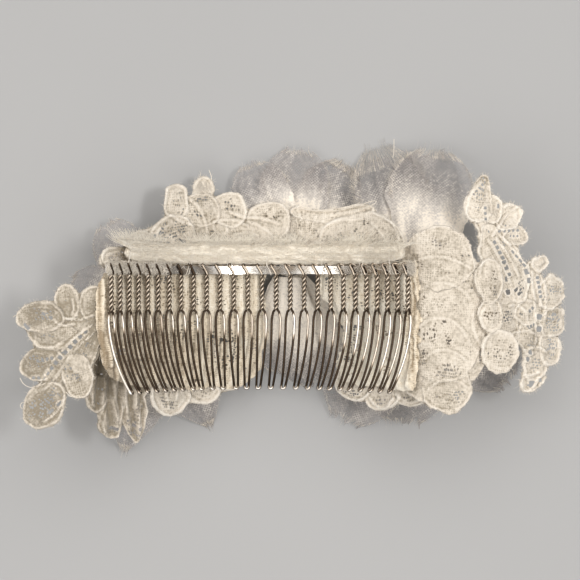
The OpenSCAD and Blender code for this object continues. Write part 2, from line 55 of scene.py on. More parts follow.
# The comb's curve and the curve that the lace follows, as in the solids
COMB_MID = (-11.2, 14.0, math.radians(-4.4))
BEND_R, END_R, BEND_HALF = 40.0, 150.0, 35.0
LACE_LEFT_S, LACE_RIGHT_S = -45.0, 46.0
CREST_LEFT_R, CREST_RIGHT_R = 12.0, 14.0
WING_LEFT_R, WING_RIGHT_R = 32.0, 60.0
WING_LEFT_LEN, WING_RIGHT_LEN = 24.0, 42.0
DRAPE_R, DRAPE_Y = 140.0, -5.8
LACE_LIFT, LAYER_PITCH = 1.2, 1.7
# Added to every x in the tables of lobes, outlines and holes
TABLE_X = -1.3

# The bar, the teeth and the roll, as in the solids
TOOTH_COUNT, TOOTH_PITCH = 26, 4.0
BAR_Y, BAR_W, BAR_T = 7.8, 2.2, 0.6
STEM_LEN = 9.8
STEM_TOP = 1.475
PRONG_LEN, PRONG_BEND_R = 22.4, 38.0
ROLL_S = (-43.0, 48.0)
ROLL_Y, ROLL_W, ROLL_T, ROLL_DROP = 12.2, 5.0, 3.2, 0.55
# The wire, a little thinner than in the solids
WIRE_R = 0.35

# Flowers and petals, as in the solids
KNOT_R, ROOT_CLEAR, PETAL_T = 2.4, 0.3, 1.0
PETAL_WIDEST, PETAL_ROOT, TIP_ROUND, TIP_POINTED, PETAL_FALL = 0.66, 0.42, 0.42, 0.14, 1.15


# Camera

def make_camera():
    data = bpy.data.cameras.new("camera")
    data.sensor_width = SENSOR
    data.lens = PHOTO_FOCAL / PHOTO_SIZE * SENSOR
    data.clip_start = 0.01
    camera = bpy.data.objects.new("camera", data)
    camera.location = (CAMERA_X * MM, CAMERA_Y * MM, CAMERA_Z * MM)
    bpy.context.scene.collection.objects.link(camera)
    bpy.context.scene.camera = camera


make_camera()


def to_photo(points):
    """The photograph's pixel of each point."""
    scale = PHOTO_FOCAL / (CAMERA_Z - points[..., 2])
    middle = PHOTO_SIZE / 2
    return middle + scale * (points[..., 0] - CAMERA_X), middle - scale * (points[..., 1] - CAMERA_Y)


# Small helpers

def ramp(value, low, high):
    """Rises smoothly from 0 at low to 1 at high."""
    t = np.clip((value - low) / (high - low), 0, 1)
    return t * t * (3 - 2 * t)


def bump(t):
    """A round ridge: 1 at 0, falling to 0 at -1 and 1."""
    return np.sqrt(np.clip(1 - t * t, 0, 1))


NOISE_SIDE = 128
NOISE_TABLE = rng.random((NOISE_SIDE, NOISE_SIDE)) * 2 - 1


def noise(x, y, size, seed):
    """Smooth noise from -1 to 1, with features of the given size."""
    gx = np.asarray(x) / size + 17.37 * seed
    gy = np.asarray(y) / size + 9.13 * seed
    i, j = np.floor(gx).astype(int), np.floor(gy).astype(int)
    fx, fy = gx - i, gy - j
    fx, fy = fx * fx * (3 - 2 * fx), fy * fy * (3 - 2 * fy)
    n, t = NOISE_SIDE, NOISE_TABLE
    low = t[i % n, j % n] * (1 - fx) + t[(i + 1) % n, j % n] * fx
    high = t[i % n, (j + 1) % n] * (1 - fx) + t[(i + 1) % n, (j + 1) % n] * fx
    return low * (1 - fy) + high * fy


def smooth_line(points, rounds=3):
    """Rounds a line's corners by cutting them off again and again."""
    line = np.array(points, float)
    for _ in range(rounds):
        a, b = line[:-1], line[1:]
        cut = np.stack([0.75 * a + 0.25 * b, 0.25 * a + 0.75 * b], 1).reshape(-1, line.shape[1])
        line = np.concatenate([line[:1], cut, line[-1:]])
    return line


def turned(x, y, angle):
    """How far a place lies along and across a direction."""
    c, s = np.cos(angle), np.sin(angle)
    return x * c + y * s, y * c - x * s


def line_distance(x, y, line):
    """Distance from each point to a line, and how far along the line the nearest place is."""
    best = np.full(np.shape(x), 1e9)
    along = np.zeros(np.shape(x))
    done = 0.0
    for (x0, y0), (x1, y1) in zip(line[:-1], line[1:]):
        dx, dy = x1 - x0, y1 - y0
        length = math.hypot(dx, dy)
        t = np.clip(((x - x0) * dx + (y - y0) * dy) / max(length, 1e-9) ** 2, 0, 1)
        d = np.hypot(x - x0 - t * dx, y - y0 - t * dy)
        nearer = d < best
        best = np.where(nearer, d, best)
        along = np.where(nearer, done + t * length, along)
        done += length
    return best, along


# The curves that everything follows

def arc_step(place, length, r):
    """The place reached after an arc of the given length and signed radius."""
    x, z, a = place
    b = a + length / r
    return x + r * (np.sin(b) - np.sin(a)), z + r * (np.cos(a) - np.cos(b)), b


def comb_at(s):
    """Place on the comb's curve, as x, z and slope, at distance s from its middle."""
    s = np.asarray(s, float)
    inner = np.clip(s, -BEND_HALF, BEND_HALF)
    return arc_step(arc_step(COMB_MID, inner, BEND_R), s - inner, END_R)


CREST_LEFT_LEN = CREST_LEFT_R * float(comb_at(LACE_LEFT_S)[2])
CREST_RIGHT_LEN = CREST_RIGHT_R * float(comb_at(LACE_RIGHT_S)[2])
WING_LEFT_S = LACE_LEFT_S + CREST_LEFT_LEN - WING_LEFT_LEN
WING_RIGHT_S = LACE_RIGHT_S + CREST_RIGHT_LEN + WING_RIGHT_LEN


def lace_at(s):
    """Place on the lace's curve: the comb's, then a crest and a falling wing at each side."""
    s = np.asarray(s, float)
    held = np.clip(s, LACE_LEFT_S, LACE_RIGHT_S)
    past = s - held
    crest = np.clip(past, CREST_LEFT_LEN, CREST_RIGHT_LEN)
    crest_r = np.where(past < 0, -CREST_LEFT_R, -CREST_RIGHT_R)
    wing_r = np.where(past < 0, -WING_LEFT_R, -WING_RIGHT_R)
    return arc_step(arc_step(comb_at(held), crest, crest_r), past - crest, wing_r)


def lace_surface(s, y, depth):
    """Points of the draped lace at a depth below the comb's curve."""
    x, z, a = lace_at(s)
    d = depth + DRAPE_R - np.sqrt(DRAPE_R ** 2 - (y - DRAPE_Y) ** 2)
    return np.stack(np.broadcast_arrays(x + d * np.sin(a), y, z - d * np.cos(a)), -1)


# The gathered lower-left motif hangs by itself from this point
LOWER_LEFT_TOP = (-47.3, -19.0, 25.5)
LOWER_LEFT_TIP = math.radians(20)
LOWER_LEFT_R = 45.0


def lower_left_surface(s, y, depth):
    """Points of the lower-left motif: a curved sheet that tips down to the right."""
    angle = y / LOWER_LEFT_R
    r = LOWER_LEFT_R - depth
    down = r * np.cos(angle) - LOWER_LEFT_R
    c, n = math.cos(LOWER_LEFT_TIP), math.sin(LOWER_LEFT_TIP)
    x0, y0, z0 = LOWER_LEFT_TOP
    return np.stack([x0 + s * c + down * n, y0 + r * np.sin(angle), z0 - s * n + down * c], -1)


def comb_local(s, along_x, y, up):
    """Points beside the comb's curve at s: along it, along Y and up from it."""
    x, z, a = comb_at(s)
    return np.stack(np.broadcast_arrays(
        x + along_x * np.cos(a) - up * np.sin(a), y, z + along_x * np.sin(a) + up * np.cos(a)), -1)


# Mesh makers

def make_piece(name, verts, faces, material, tone, uv=None):
    """A smooth mesh from arrays, with a tone for each vertex or one for all.

    faces is a list of arrays, and all polygons of one array have the same number of corners."""
    faces = [f for f in faces if len(f)]
    sizes = np.concatenate([np.full(len(f), f.shape[1]) for f in faces])
    loops = np.concatenate([f.ravel() for f in faces]).astype(np.int32)
    starts = np.concatenate([[0], np.cumsum(sizes)[:-1]]).astype(np.int32)
    mesh = bpy.data.meshes.new(name)
    mesh.vertices.add(len(verts))
    mesh.vertices.foreach_set("co", (np.asarray(verts) * MM).astype(np.float32).ravel())
    mesh.loops.add(len(loops))
    mesh.loops.foreach_set("vertex_index", loops)
    mesh.polygons.add(len(sizes))
    mesh.polygons.foreach_set("loop_start", starts)
    mesh.polygons.foreach_set("use_smooth", np.ones(len(sizes), bool))
    mesh.update(calc_edges=True)
    layer = mesh.attributes.new("tone", "FLOAT", "POINT")
    layer.data.foreach_set("value", np.broadcast_to(tone, len(verts)).astype(np.float32))
    if uv is not None:
        layer = mesh.uv_layers.new(name="thread")
        layer.data.foreach_set("uv", np.asarray(uv, np.float32)[loops].ravel())
    mesh.materials.append(material)
    piece = bpy.data.objects.new(name, mesh)
    bpy.context.scene.collection.objects.link(piece)
    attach(piece, "root")
    return piece


def cover(field):
    """Polygons over the part of a grid where the field is above zero.

    Returns the two grid nodes of each vertex, the share of the second, and the polygons."""
    inside = field > 0
    node = np.arange(field.size).reshape(field.shape)
    flat = field.ravel()
    ids = np.full(field.shape, -1)
    ids[inside] = np.arange(inside.sum())
    first, second = [node[inside]], [node[inside]]
    count = int(inside.sum())
    sides = []
    for low, high in (((slice(None, -1), slice(None)), (slice(1, None), slice(None))),
                      ((slice(None), slice(None, -1)), (slice(None), slice(1, None)))):
        cross = inside[low] != inside[high]
        side = np.full(cross.shape, -1)
        side[cross] = count + np.arange(cross.sum())
        count += int(cross.sum())
        first.append(node[low][cross])
        second.append(node[high][cross])
        sides.append(side)
    first, second = np.concatenate(first), np.concatenate(second)
    span = flat[first] - flat[second]
    share = np.where(first == second, 0.0, flat[first] / np.where(span == 0, 1, span))
    along, across = sides
    slots = [ids[:-1, :-1], along[:, :-1], ids[1:, :-1], across[1:], ids[1:, 1:],
             along[:, 1:], ids[:-1, 1:], across[:-1]]
    corner = [inside[:-1, :-1], inside[1:, :-1], inside[1:, 1:], inside[:-1, 1:]]
    code = sum(c.astype(int) << k for k, c in enumerate(corner))
    faces = []
    for value in range(1, 16):
        here = code == value
        if not here.any():
            continue
        used = []
        for k in range(4):
            if value >> k & 1:
                used.append(2 * k)
            if (value >> k & 1) != (value >> (k + 1) % 4 & 1):
                used.append(2 * k + 1)
        faces.append(np.stack([slots[k][here] for k in used], 1))
    return first, second, share, faces


def joined_part(inside, seed):
    """The part of a mask that is joined to the seed."""
    reach = np.zeros_like(inside)
    reach[seed] = True
    while True:
        grown = reach.copy()
        grown[1:] |= reach[:-1]
        grown[:-1] |= reach[1:]
        grown[:, 1:] |= reach[:, :-1]
        grown[:, :-1] |= reach[:, 1:]
        grown &= inside
        if (grown == reach).all():
            return reach
        reach = grown


def grid_faces(rows, cols, closed=False):
    """Quads of a grid of rows and columns of vertices, closed across the columns or not."""
    i = np.arange(rows - 1)[:, None]
    j = np.arange(cols if closed else cols - 1)[None, :]
    k = (j + 1) % cols
    a, b = i * cols + j, i * cols + k
    return np.stack([a, b, b + cols, a + cols], -1).reshape(-1, 4)


def closed_tube_faces(rows, cols):
    """Polygons of a tube of rings of vertices, with a lid at each end."""
    ring = np.arange(cols)
    return [grid_faces(rows, cols, True), np.array([ring[::-1], ring + (rows - 1) * cols])]


def carried_frames(path, closed=False):
    """Two directions across a path, carried along it without twist."""
    tangent = np.gradient(path, axis=0)
    if closed:
        tangent = np.roll(path, -1, 0) - np.roll(path, 1, 0)
    tangent /= np.linalg.norm(tangent, axis=1)[:, None]
    normal = np.zeros_like(path)
    start = np.cross(tangent[0], (0.31, 0.52, 0.79))
    normal[0] = start / np.linalg.norm(start)
    for k in range(1, len(path)):
        n = normal[k - 1] - tangent[k] * np.dot(normal[k - 1], tangent[k])
        normal[k] = n / np.linalg.norm(n)
    return normal, np.cross(tangent, normal)


def wire_tube(path, radius, sides, closed=False):
    """A round tube along a path, as vertices, quads and how much each vertex looks up."""
    side, up = carried_frames(path, closed)
    a = np.arange(sides) * 2 * math.pi / sides
    out = side[:, None] * np.cos(a)[None, :, None] + up[:, None] * np.sin(a)[None, :, None]
    verts = path[:, None] + radius * out
    faces = grid_faces(len(path), sides, True)
    if closed:
        last, j = (len(path) - 1) * sides, np.arange(sides)
        turn = int(np.argmin(np.linalg.norm(verts[0] - verts[-1, 0], axis=1)))
        nxt = (j + turn) % sides
        faces = np.concatenate([faces, np.stack([last + j, last + (j + 1) % sides,
                                                 (nxt + 1) % sides, nxt], 1)])
    return verts.reshape(-1, 3), faces, out[..., 2].ravel()


def hair_tubes(paths, radius):
    """Many thin three-sided threads at once: paths has a row of points for each. All taper."""
    sides = 3
    count, points, _ = paths.shape
    tangent = np.gradient(paths, axis=1)
    tangent /= np.linalg.norm(tangent, axis=2)[..., None] + 1e-9
    side = np.cross(tangent, (0.18, 0.29, 0.94))
    side /= np.linalg.norm(side, axis=2)[..., None] + 1e-9
    up = np.cross(tangent, side)
    a = np.arange(sides) * 2 * math.pi / sides
    size = radius * np.linspace(1, 0.45, points)[None, :, None, None]
    ring = side[:, :, None] * np.cos(a)[:, None] + up[:, :, None] * np.sin(a)[:, None]
    verts = paths[:, :, None] + size * ring
    quads = grid_faces(points, sides, True)
    start = np.arange(count)[:, None, None] * points * sides
    caps = np.array([[2, 1, 0], [(points - 1) * sides + k for k in range(sides)]])
    return verts.reshape(-1, 3), [(quads[None] + start).reshape(-1, 4),
                                  (caps[None] + start).reshape(-1, 3)]


def merge(parts):
    """Joins (vertices, list of face arrays) parts into one."""
    verts, faces, count = [], [], 0
    for v, fs in parts:
        verts.append(v)
        faces += [f + count for f in fs]
        count += len(v)
    return np.concatenate(verts), faces


def make_hair(name, paths, radius, material, tone):
    """A piece of many thin threads, with a tone for each thread or one for all."""
    verts, faces = hair_tubes(paths, radius)
    tone = np.repeat(np.broadcast_to(tone, len(paths)), len(verts) // len(paths))
    return make_piece(name, verts, faces, material, tone, verts[:, :2])


# Materials

class Nodes:
    """Builds one material's nodes with few words."""

    def __init__(self, name):
        self.material = bpy.data.materials.new(name)
        self.material.use_nodes = True
        self.tree = self.material.node_tree
        self.shader = self.tree.nodes["Principled BSDF"]

    def new(self, kind):
        return self.tree.nodes.new("ShaderNode" + kind)

    def put(self, socket, value):
        if isinstance(value, bpy.types.NodeSocket):
            self.tree.links.new(value, socket)
        else:
            socket.default_value = value

    def set(self, name, value):
        """Sets or links one of the shader's own inputs."""
        self.put(self.shader.inputs[name], value)

    def math(self, operation, a, b=0.0, c=0.0):
        node = self.new("Math")
        node.operation = operation
        for socket, value in zip(node.inputs, (a, b, c)):
            self.put(socket, value)
        return node.outputs[0]

    def plus(self, a, b):
        return self.math("ADD", a, b)

    def times(self, a, b):
        return self.math("MULTIPLY", a, b)

    def spread(self, value, width):
        """A value from 0 to 1, moved and scaled to lie about 0."""
        return self.math("MULTIPLY_ADD", value, width, -width / 2)

    def ramp(self, value, stops):
        """The colour or grey read off a row of stops at a value."""
        node = self.new("ValToRGB")
        elements = node.color_ramp.elements
        while len(elements) < len(stops):
            elements.new(0.5)
        for element, (place, colour) in zip(elements, stops):
            element.position = place
            element.color = (*(np.ones(3) * colour), 1)
        self.put(node.inputs[0], value)
        return node.outputs[0]

    def place(self):
        return self.new("TexCoord").outputs["Object"]

    def noise(self, scale, detail, place):
        node = self.new("TexNoise")
        node.inputs["Scale"].default_value = scale
        node.inputs["Detail"].default_value = detail
        self.put(node.inputs["Vector"], place)
        return node.outputs["Fac"]

    def bump(self, height, distance, strength):
        node = self.new("Bump")
        node.inputs["Strength"].default_value = strength
        node.inputs["Distance"].default_value = distance
        self.put(node.inputs["Height"], height)
        self.set("Normal", node.outputs[0])

    def thread_axes(self):
        """The two thread coordinates of the mesh, in mm."""
        uv = self.new("UVMap")
        uv.uv_map = "thread"
        split = self.new("SeparateXYZ")
        self.put(split.inputs[0], uv.outputs[0])
        return split.outputs[0], split.outputs[1]

    def tone(self):
        """The tone that the mesh carries."""
        node = self.new("Attribute")
        node.attribute_name = "tone"
        return node.outputs["Fac"]

    def wave(self, coordinate, pitch, wobble):
        """A sine from 0 to 1 with the given pitch along a coordinate in mm."""
        angle = self.math("MULTIPLY_ADD", coordinate, 2 * math.pi / pitch, wobble)
        return self.math("MULTIPLY_ADD", self.math("SINE", angle), 0.5, 0.5)


def lace_material(name, dark, middle, light):
    """Cotton lace: tone from the mesh, soft blotches and fine crossing threads."""
    m = Nodes(name)
    place = m.place()
    grain = m.noise(1900, 3, place)
    along, across = m.thread_axes()
    wobble = m.times(m.noise(420, 3, place), 12.0)
    weave = m.times(m.wave(along, 0.66, wobble), m.wave(across, 0.58, wobble))
    patch = m.times(m.ramp(m.noise(210, 2, place), [(0.40, 0), (0.65, 1)]), 0.34)
    tone = m.plus(m.tone(), m.spread(m.noise(140, 3, place), 0.34))
    tone = m.plus(tone, m.spread(grain, 0.56))
    tone = m.plus(tone, m.times(m.math("SUBTRACT", 0.25, weave), patch))
    m.set("Base Color", m.ramp(tone, [(0.0, dark), (0.5, middle), (1.0, light)]))
    m.bump(m.plus(m.times(weave, -0.5), m.times(grain, 0.8)), 0.00016, 0.9)
    m.set("Roughness", 0.85)
    m.set("Sheen Weight", 0.25)
    m.set("Sheen Roughness", 0.6)
    return m.material


def organza_material():
    """Sheer organza: close and cream at the gathers, and towards the tips an open net with painted glints on
    its threads.
    """
    m = Nodes("organza")
    place = m.place()
    along, across = m.thread_axes()
    wobble = m.times(m.noise(230, 2, place), 7.0)
    one_way, other_way = m.plus(along, across), m.math("SUBTRACT", along, across)
    net = m.math("MAXIMUM", m.wave(one_way, 0.95, wobble), m.wave(other_way, 0.88, wobble))
    worn = m.ramp(m.noise(110, 2, place), [(0.3, 0.25), (0.7, 1)])
    net = m.times(m.math("POWER", net, 3.0), worn)
    # Painted glints: random specks that brighten the net's threads and make them more opaque.
    painted_glint = m.ramp(m.noise(900, 1, place), [(0.35, 0.3), (0.62, 1)])
    grain = m.noise(1500, 3, place)
    tone = m.tone()
    sheer_net = m.times(m.math("SUBTRACT", 1.0, tone), net)
    thread = m.times(sheer_net, painted_glint)
    alpha = m.math("MULTIPLY_ADD", tone, 0.80, 0.20)
    alpha = m.plus(alpha, m.times(thread, 0.75))
    m.set("Alpha", m.plus(alpha, m.spread(grain, 0.44)))
    bright = m.plus(m.math("MULTIPLY_ADD", thread, 0.8, tone), m.spread(grain, 0.5))
    m.set("Base Color", m.ramp(bright, [
        (0.0, (0.25, 0.23, 0.23)), (0.5, (0.46, 0.425, 0.405)),
        (0.85, (0.74, 0.69, 0.635)), (1.0, (0.97, 0.89, 0.78))]))
    m.bump(m.plus(sheer_net, grain), 0.00006, 0.7)
    m.set("Roughness", 0.5)
    m.set("Sheen Weight", 0.1)
    return m.material


def wire_material():
    """Silvered wire with fine drawn scratches. The tone that it carries holds painted reflection: light where
    the wire faces up, dark where it faces sideways or down, and painted highlights.
    """
    m = Nodes("wire")
    grain = m.noise(700, 3, m.place())
    tone = m.plus(m.tone(), m.spread(grain, 0.24))
    m.set("Base Color", m.ramp(tone, [
        (0.0, (0.03, 0.02, 0.014)), (0.28, (0.085, 0.06, 0.042)),
        (0.6, (0.62, 0.52, 0.41)), (1.0, (0.94, 0.91, 0.87))]))
    m.set("Metallic", 1.0)
    m.set("Roughness", m.ramp(tone, [(0.1, 0.32), (0.5, 0.60), (0.8, 0.42)]))
    m.bump(grain, 0.00002, 0.5)
    return m.material


def bar_material():
    """The bar's flat strip: bright rolled metal with long fine scratches."""
    m = Nodes("bar")
    place = m.place()
    stretch = m.new("Mapping")
    stretch.inputs["Scale"].default_value = (0.08, 1, 1)
    m.put(stretch.inputs["Vector"], place)
    scratch = m.noise(5200, 3, stretch.outputs[0])
    m.set("Base Color", m.ramp(m.noise(260, 3, place), [
        (0.3, (0.45, 0.37, 0.29)), (0.62, (0.86, 0.84, 0.81))]))
    m.set("Metallic", 1.0)
    m.set("Roughness", m.math("MULTIPLY_ADD", scratch, 0.2, 0.12))
    m.bump(scratch, 0.00002, 0.5)
    return m.material


def floor_material():
    m = Nodes("floor")
    cloud = m.noise(3, 4, m.place())
    m.set("Base Color", m.ramp(cloud, [(0.3, (0.42, 0.423, 0.43)), (0.7, (0.45, 0.453, 0.46))]))
    m.set("Roughness", 0.9)
    return m.material


lace_finish = lace_material("lace", (0.30, 0.255, 0.19), (0.71, 0.64, 0.545), (0.92, 0.86, 0.77))
# The roll and the backing are lighter copies of the lace, painted light: for the roll's thin fibres, which
# shade one another, and for the backing, which lies in shade under the wires and the bar. The backing is
# warmer too.
roll_lit_finish = lace_material("roll", (0.36, 0.29, 0.20), (0.80, 0.71, 0.58), (0.97, 0.91, 0.80))
backing_lit_finish = lace_material("backing", (0.34, 0.26, 0.17), (0.84, 0.73, 0.57), (1.0, 0.93, 0.80))
organza_finish = organza_material()
wire_finish = wire_material()
bar_finish = bar_material()


# The comb

def catmull(points, per_span):
    """A smooth curve through the points. The first and the last only guide it."""
    p = np.array(points, float)
    t = np.linspace(0, 1, per_span, endpoint=False)[:, None]
    spans = []
    for a, b, c, d in zip(p[:-3], p[1:-2], p[2:-1], p[3:]):
        spans.append(0.5 * (2 * b + (c - a) * t + (2 * a - 5 * b + 4 * c - d) * t ** 2
                            + (3 * b - a - 3 * c + d) * t ** 3))
    return np.concatenate(spans)


HELIX_R = 0.41
STEM_TURNS = 3.75
STRAND_STRETCH = 1.55
RING_GAP = 0.36
WIRE_SIDES = 8
WRAP_CLEAR = 0.06
# The U at the tip: the length of prong that it takes the place of, and how much longer than round it is
TIP_LEN, TIP_STRETCH = 0.9, 1.2
# How much the tips stray sideways and up, and the stems' turns, from one tooth to the next
TIP_SCATTER, LIFT_SCATTER, TURN_SCATTER = 0.16, 0.12, 0.04
# The middle teeth lean to the left by this much at the tip, and the others less and less over so many teeth
MIDDLE_LEAN, LEAN_TEETH = 1.1, 6
# The arches of this many teeth, from the left, are darker
DARK_ARCHES = 9
# Half the distance between the prongs, by distance from the stem's end
PRONG_AT = (-0.2, 0.3, 0.8, 1.4, 2.1, 3.2, 6.5, 11.0, 16.0, 21.4)
PRONG_HALF = (0.41, 0.62, 0.86, 1.06, 1.19, 1.24, 1.20, 1.08, 0.82, 0.54)
# How far down its right prong a tooth carries a painted highlight, by the tooth's number, from 0 at the left
HIGHLIGHT_TOOTH = (0, 8, 12, 16, 19, 22, 25)
HIGHLIGHT_DOWN = (4.2, 4.6, 6.4, 6.6, 9.0, 14.0, 17.0)


def tooth_path(tip_shift, tip_lift, turns):
    """The middle of one tooth's wire in its own frame: x along the bar, y, z up from the bar.

    It winds once round the bar, runs down one twisted strand and prong and back up the other."""
    y = np.linspace(0, STEM_LEN, int(STEM_LEN * STRAND_STRETCH / RING_GAP) + 1)
    a = math.pi / 2 + y / STEM_LEN * turns * 2 * math.pi
    down = np.stack([HELIX_R * np.cos(a), -STEM_TOP - y, HELIX_R * np.sin(a)], 1)
    back = down * (-1, 1, -1)
    t = np.arange(0.5, PRONG_LEN - TIP_LEN, RING_GAP * 1.15)
    half = np.interp(t, PRONG_AT, PRONG_HALF)
    half = np.convolve(np.pad(half, 2, "edge"), np.ones(5) / 5, "valid")
    ease = (t / PRONG_LEN) ** 2
    rise = PRONG_BEND_R - np.sqrt(PRONG_BEND_R ** 2 - t ** 2)
    side = 1 if down[-1, 0] > 0 else -1
    prong = np.stack([side * half + tip_shift * ease, -STEM_TOP - STEM_LEN - t,
                      rise + tip_lift * ease], 1)
    other = prong * (-1, 1, 1)
    other[:, 0] += 2 * tip_shift * ease
    tip_a = np.linspace(0, math.pi, 7)[1:-1]
    tip_r = half[-1]
    ahead = prong[-1] - prong[-2]
    ahead /= np.linalg.norm(ahead)
    middle = (prong[-1] + other[-1]) / 2
    across = side * tip_r * np.cos(tip_a)[:, None] * (1, 0, 0)
    tip = middle + across + tip_r * TIP_STRETCH * np.sin(tip_a)[:, None] * ahead
    over = BAR_T / 2 + WIRE_R + WRAP_CLEAR
    edge = BAR_W / 2 + WIRE_R + WRAP_CLEAR
    wrap = [back[1], back[0], (0.35, -edge + 0.3, -over), (0.2, 0.2, -over), (-0.4, edge - 0.25, -over),
            (-1.2, edge + 0.1, -0.1), (-1.35, edge - 0.3, over), (-0.55, -0.1, over),
            (-0.05, -edge + 0.4, over + 0.02), down[0], down[1]]
    wrap = catmull(wrap, 4)[1:]
    return np.concatenate([down, prong, tip, other[::-1], back[::-1], wrap])


def make_teeth():
    """Each tooth as wound and twisted wire, in place of its plainer solid."""
    for i in range(TOOTH_COUNT):
        from_middle = i - (TOOTH_COUNT - 1) / 2
        s = from_middle * TOOTH_PITCH
        shift = rng.normal(0, TIP_SCATTER) - MIDDLE_LEAN * math.exp(-(from_middle / LEAN_TEETH) ** 2)
        flat = tooth_path(shift, rng.normal(0, LIFT_SCATTER), STEM_TURNS + rng.normal(0, TURN_SCATTER))
        path = comb_local(s, flat[:, 0], flat[:, 1] + BAR_Y, flat[:, 2])
        verts, faces, up = wire_tube(path, WIRE_R, WIRE_SIDES, closed=True)
        past = np.repeat(-flat[:, 1] - STEM_TOP, WIRE_SIDES) - STEM_LEN
        side = np.repeat(flat[:, 0], WIRE_SIDES)
        # Painted highlight: a bright run down the right prong below its shoulder, and down the whole left
        # prong of the first tooth.
        down = np.interp(i, HIGHLIGHT_TOOTH, HIGHLIGHT_DOWN)
        bright = (side > 0.5) * ramp(past, 0.6, 1.6) * ramp(-past, -down - 2.5, -down + 0.5)
        if i == 0:
            bright = np.maximum(bright, (side < -0.5) * ramp(past, 0.6, 1.6))
        # Painted highlight on the U at the tip, where it faces up.
        tip = ramp(past, PRONG_LEN - 1.5, PRONG_LEN - 0.7) * ramp(up, 0.3, 0.8)
        prong = ramp(past, -0.8, 0.2)
        highlight_strength = rng.uniform(0.45, 0.75)
        arch = 0.6 * (i < DARK_ARCHES) * ramp(-past, STEM_LEN - 0.2, STEM_LEN + 0.4)
        # Painted reflection: lighter where the wire faces up, dark where it faces sideways or down, and
        # darker along the prongs.
        tone = ramp(up, 0.30, 0.80) * (1 - arch) * (0.66 - 0.46 * prong)
        tone = tone + highlight_strength * bright * ramp(up, -0.3, 0.5) + 0.7 * tip
        name = f"tooth_{i + 1:02d}"
        piece = make_piece("wire_" + name, verts, [faces], wire_finish, tone=tone)
        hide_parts(name)


def make_bar():
    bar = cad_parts["comb_bar"]
    bar.data.materials.clear()
    bar.data.materials.append(bar_finish)


# Lobes of each lace motif, as in the solids but for one small lobe more at the lower left: centre, direction
# in degrees, length and width, then 1 for a pointed one
LOBES = {
    "left_sprig": [
        (-66.9, -5.0, 188, 13.2, 9.4), (-59.5, -1.0, 100, 10.2, 7.2), (-53.0, -1.4, 90, 9.2, 6.8),
        (-63.5, -10.0, 178, 14.0, 7.2), (-66.6, -17.4, 195, 13.4, 9.2), (-66.0, -28.8, 232, 14.4, 10.8),
        (-57.0, -20.5, -72, 12.4, 9.2), (-56.0, -15.4, 63, 18.6, 8.4), (-53.8, -12.4, 70, 14.0, 8.0),
        (-56.0, -9.8, 215, 18.8, 12.4), (-59.8, -16.5, 228, 20.8, 7.0), (-50.6, -5.6, 90, 14.6, 9.0),
    ],
    "lower_left_lace": [
        (-53.2, -25.8, 262, 10.4, 6.0), (-49.6, -33.2, 265, 12.0, 7.2), (-43.0, -33.0, 270, 15.4, 10.2, 1),
        (-46.4, -25.2, 180, 14.4, 12.4), (-51.8, -18.8, 262, 9.4, 5.4),
    ],
    "bottom_left_lace": [
        (-33.2, -27.6, 270, 11.6, 11.2), (-24.6, -25.2, 270, 10.2, 10.2), (-16.5, -22.8, 270, 7.4, 6.4),
        (-26.5, -22.6, 180, 22.0, 9.6),
    ],
    "top_left_lace": [
        (-47.0, 10.6, 90, 7.2, 7.2), (-41.0, 14.0, 90, 9.4, 9.0), (-33.0, 17.6, 90, 11.8, 11.8),
        (-32.2, 26.4, 92, 10.8, 7.4), (-24.9, 24.8, 90, 9.6, 11.0), (-24.8, 30.8, 92, 7.6, 5.8),
        (-17.4, 25.0, 90, 10.4, 10.4), (-6.4, 21.6, 90, 12.6, 12.6), (-21.0, 15.0, 0, 45.0, 14.4),
        (-38.6, 11.0, 8, 25.4, 6.6),
    ],
    "top_middle_lace": [
        (19.6, 15.2, 0, 23.4, 18.4), (11.9, 24.4, 0, 23.8, 6.4), (4.6, 19.4, 90, 10.4, 13.2),
        (5.0, 14.0, 0, 14.0, 12.0),
    ],
    "right_main_lace": [
        (40.4, 10.9, 0, 19.0, 17.4), (41.5, -5.9, 90, 34.0, 22.6), (42.2, -24.4, 270, 13.6, 13.0),
        (48.0, -16.2, 0, 11.0, 12.0), (50.6, -0.6, 90, 21.6, 8.0), (36.6, -22.2, 0, 13.4, 13.4),
    ],
    "right_lobes": [
        (54.0, 4.6, 90, 12.6, 8.2), (54.2, -4.4, 90, 10.0, 7.2), (56.6, -14.6, 90, 12.6, 9.8),
    ],
    "right_sprig": [
        (51.8, 27.2, 76, 13.8, 10.6, 1), (55.4, 24.2, 66, 8.0, 6.0), (59.8, 22.2, 40, 9.4, 7.2),
        (61.8, 17.0, 15, 7.6, 5.6), (58.2, 9.8, 117, 23.6, 11.0), (69.2, 9.4, 30, 5.6, 4.4),
        (72.4, 1.6, 80, 10.0, 8.4), (73.0, -7.0, 90, 8.4, 8.4), (71.6, -14.2, 80, 9.0, 7.4),
        (65.0, -3.8, 90, 8.4, 8.0), (65.6, -10.8, 90, 10.0, 8.0), (67.6, -2.2, 96, 23.8, 7.0),
        (67.2, -17.2, 80, 12.0, 7.6), (66.4, -22.6, 30, 8.0, 6.0), (54.0, 19.4, 100, 12.0, 8.0),
        (58.8, -5.4, 90, 17.0, 8.6),
    ],
    "bottom_right_lace": [
        (17.8, -24.3, 270, 10.2, 10.2), (25.2, -26.8, 270, 9.0, 9.6), (32.4, -25.5, 270, 8.4, 9.4),
        (25.6, -21.6, 0, 25.6, 9.6),
    ],
}

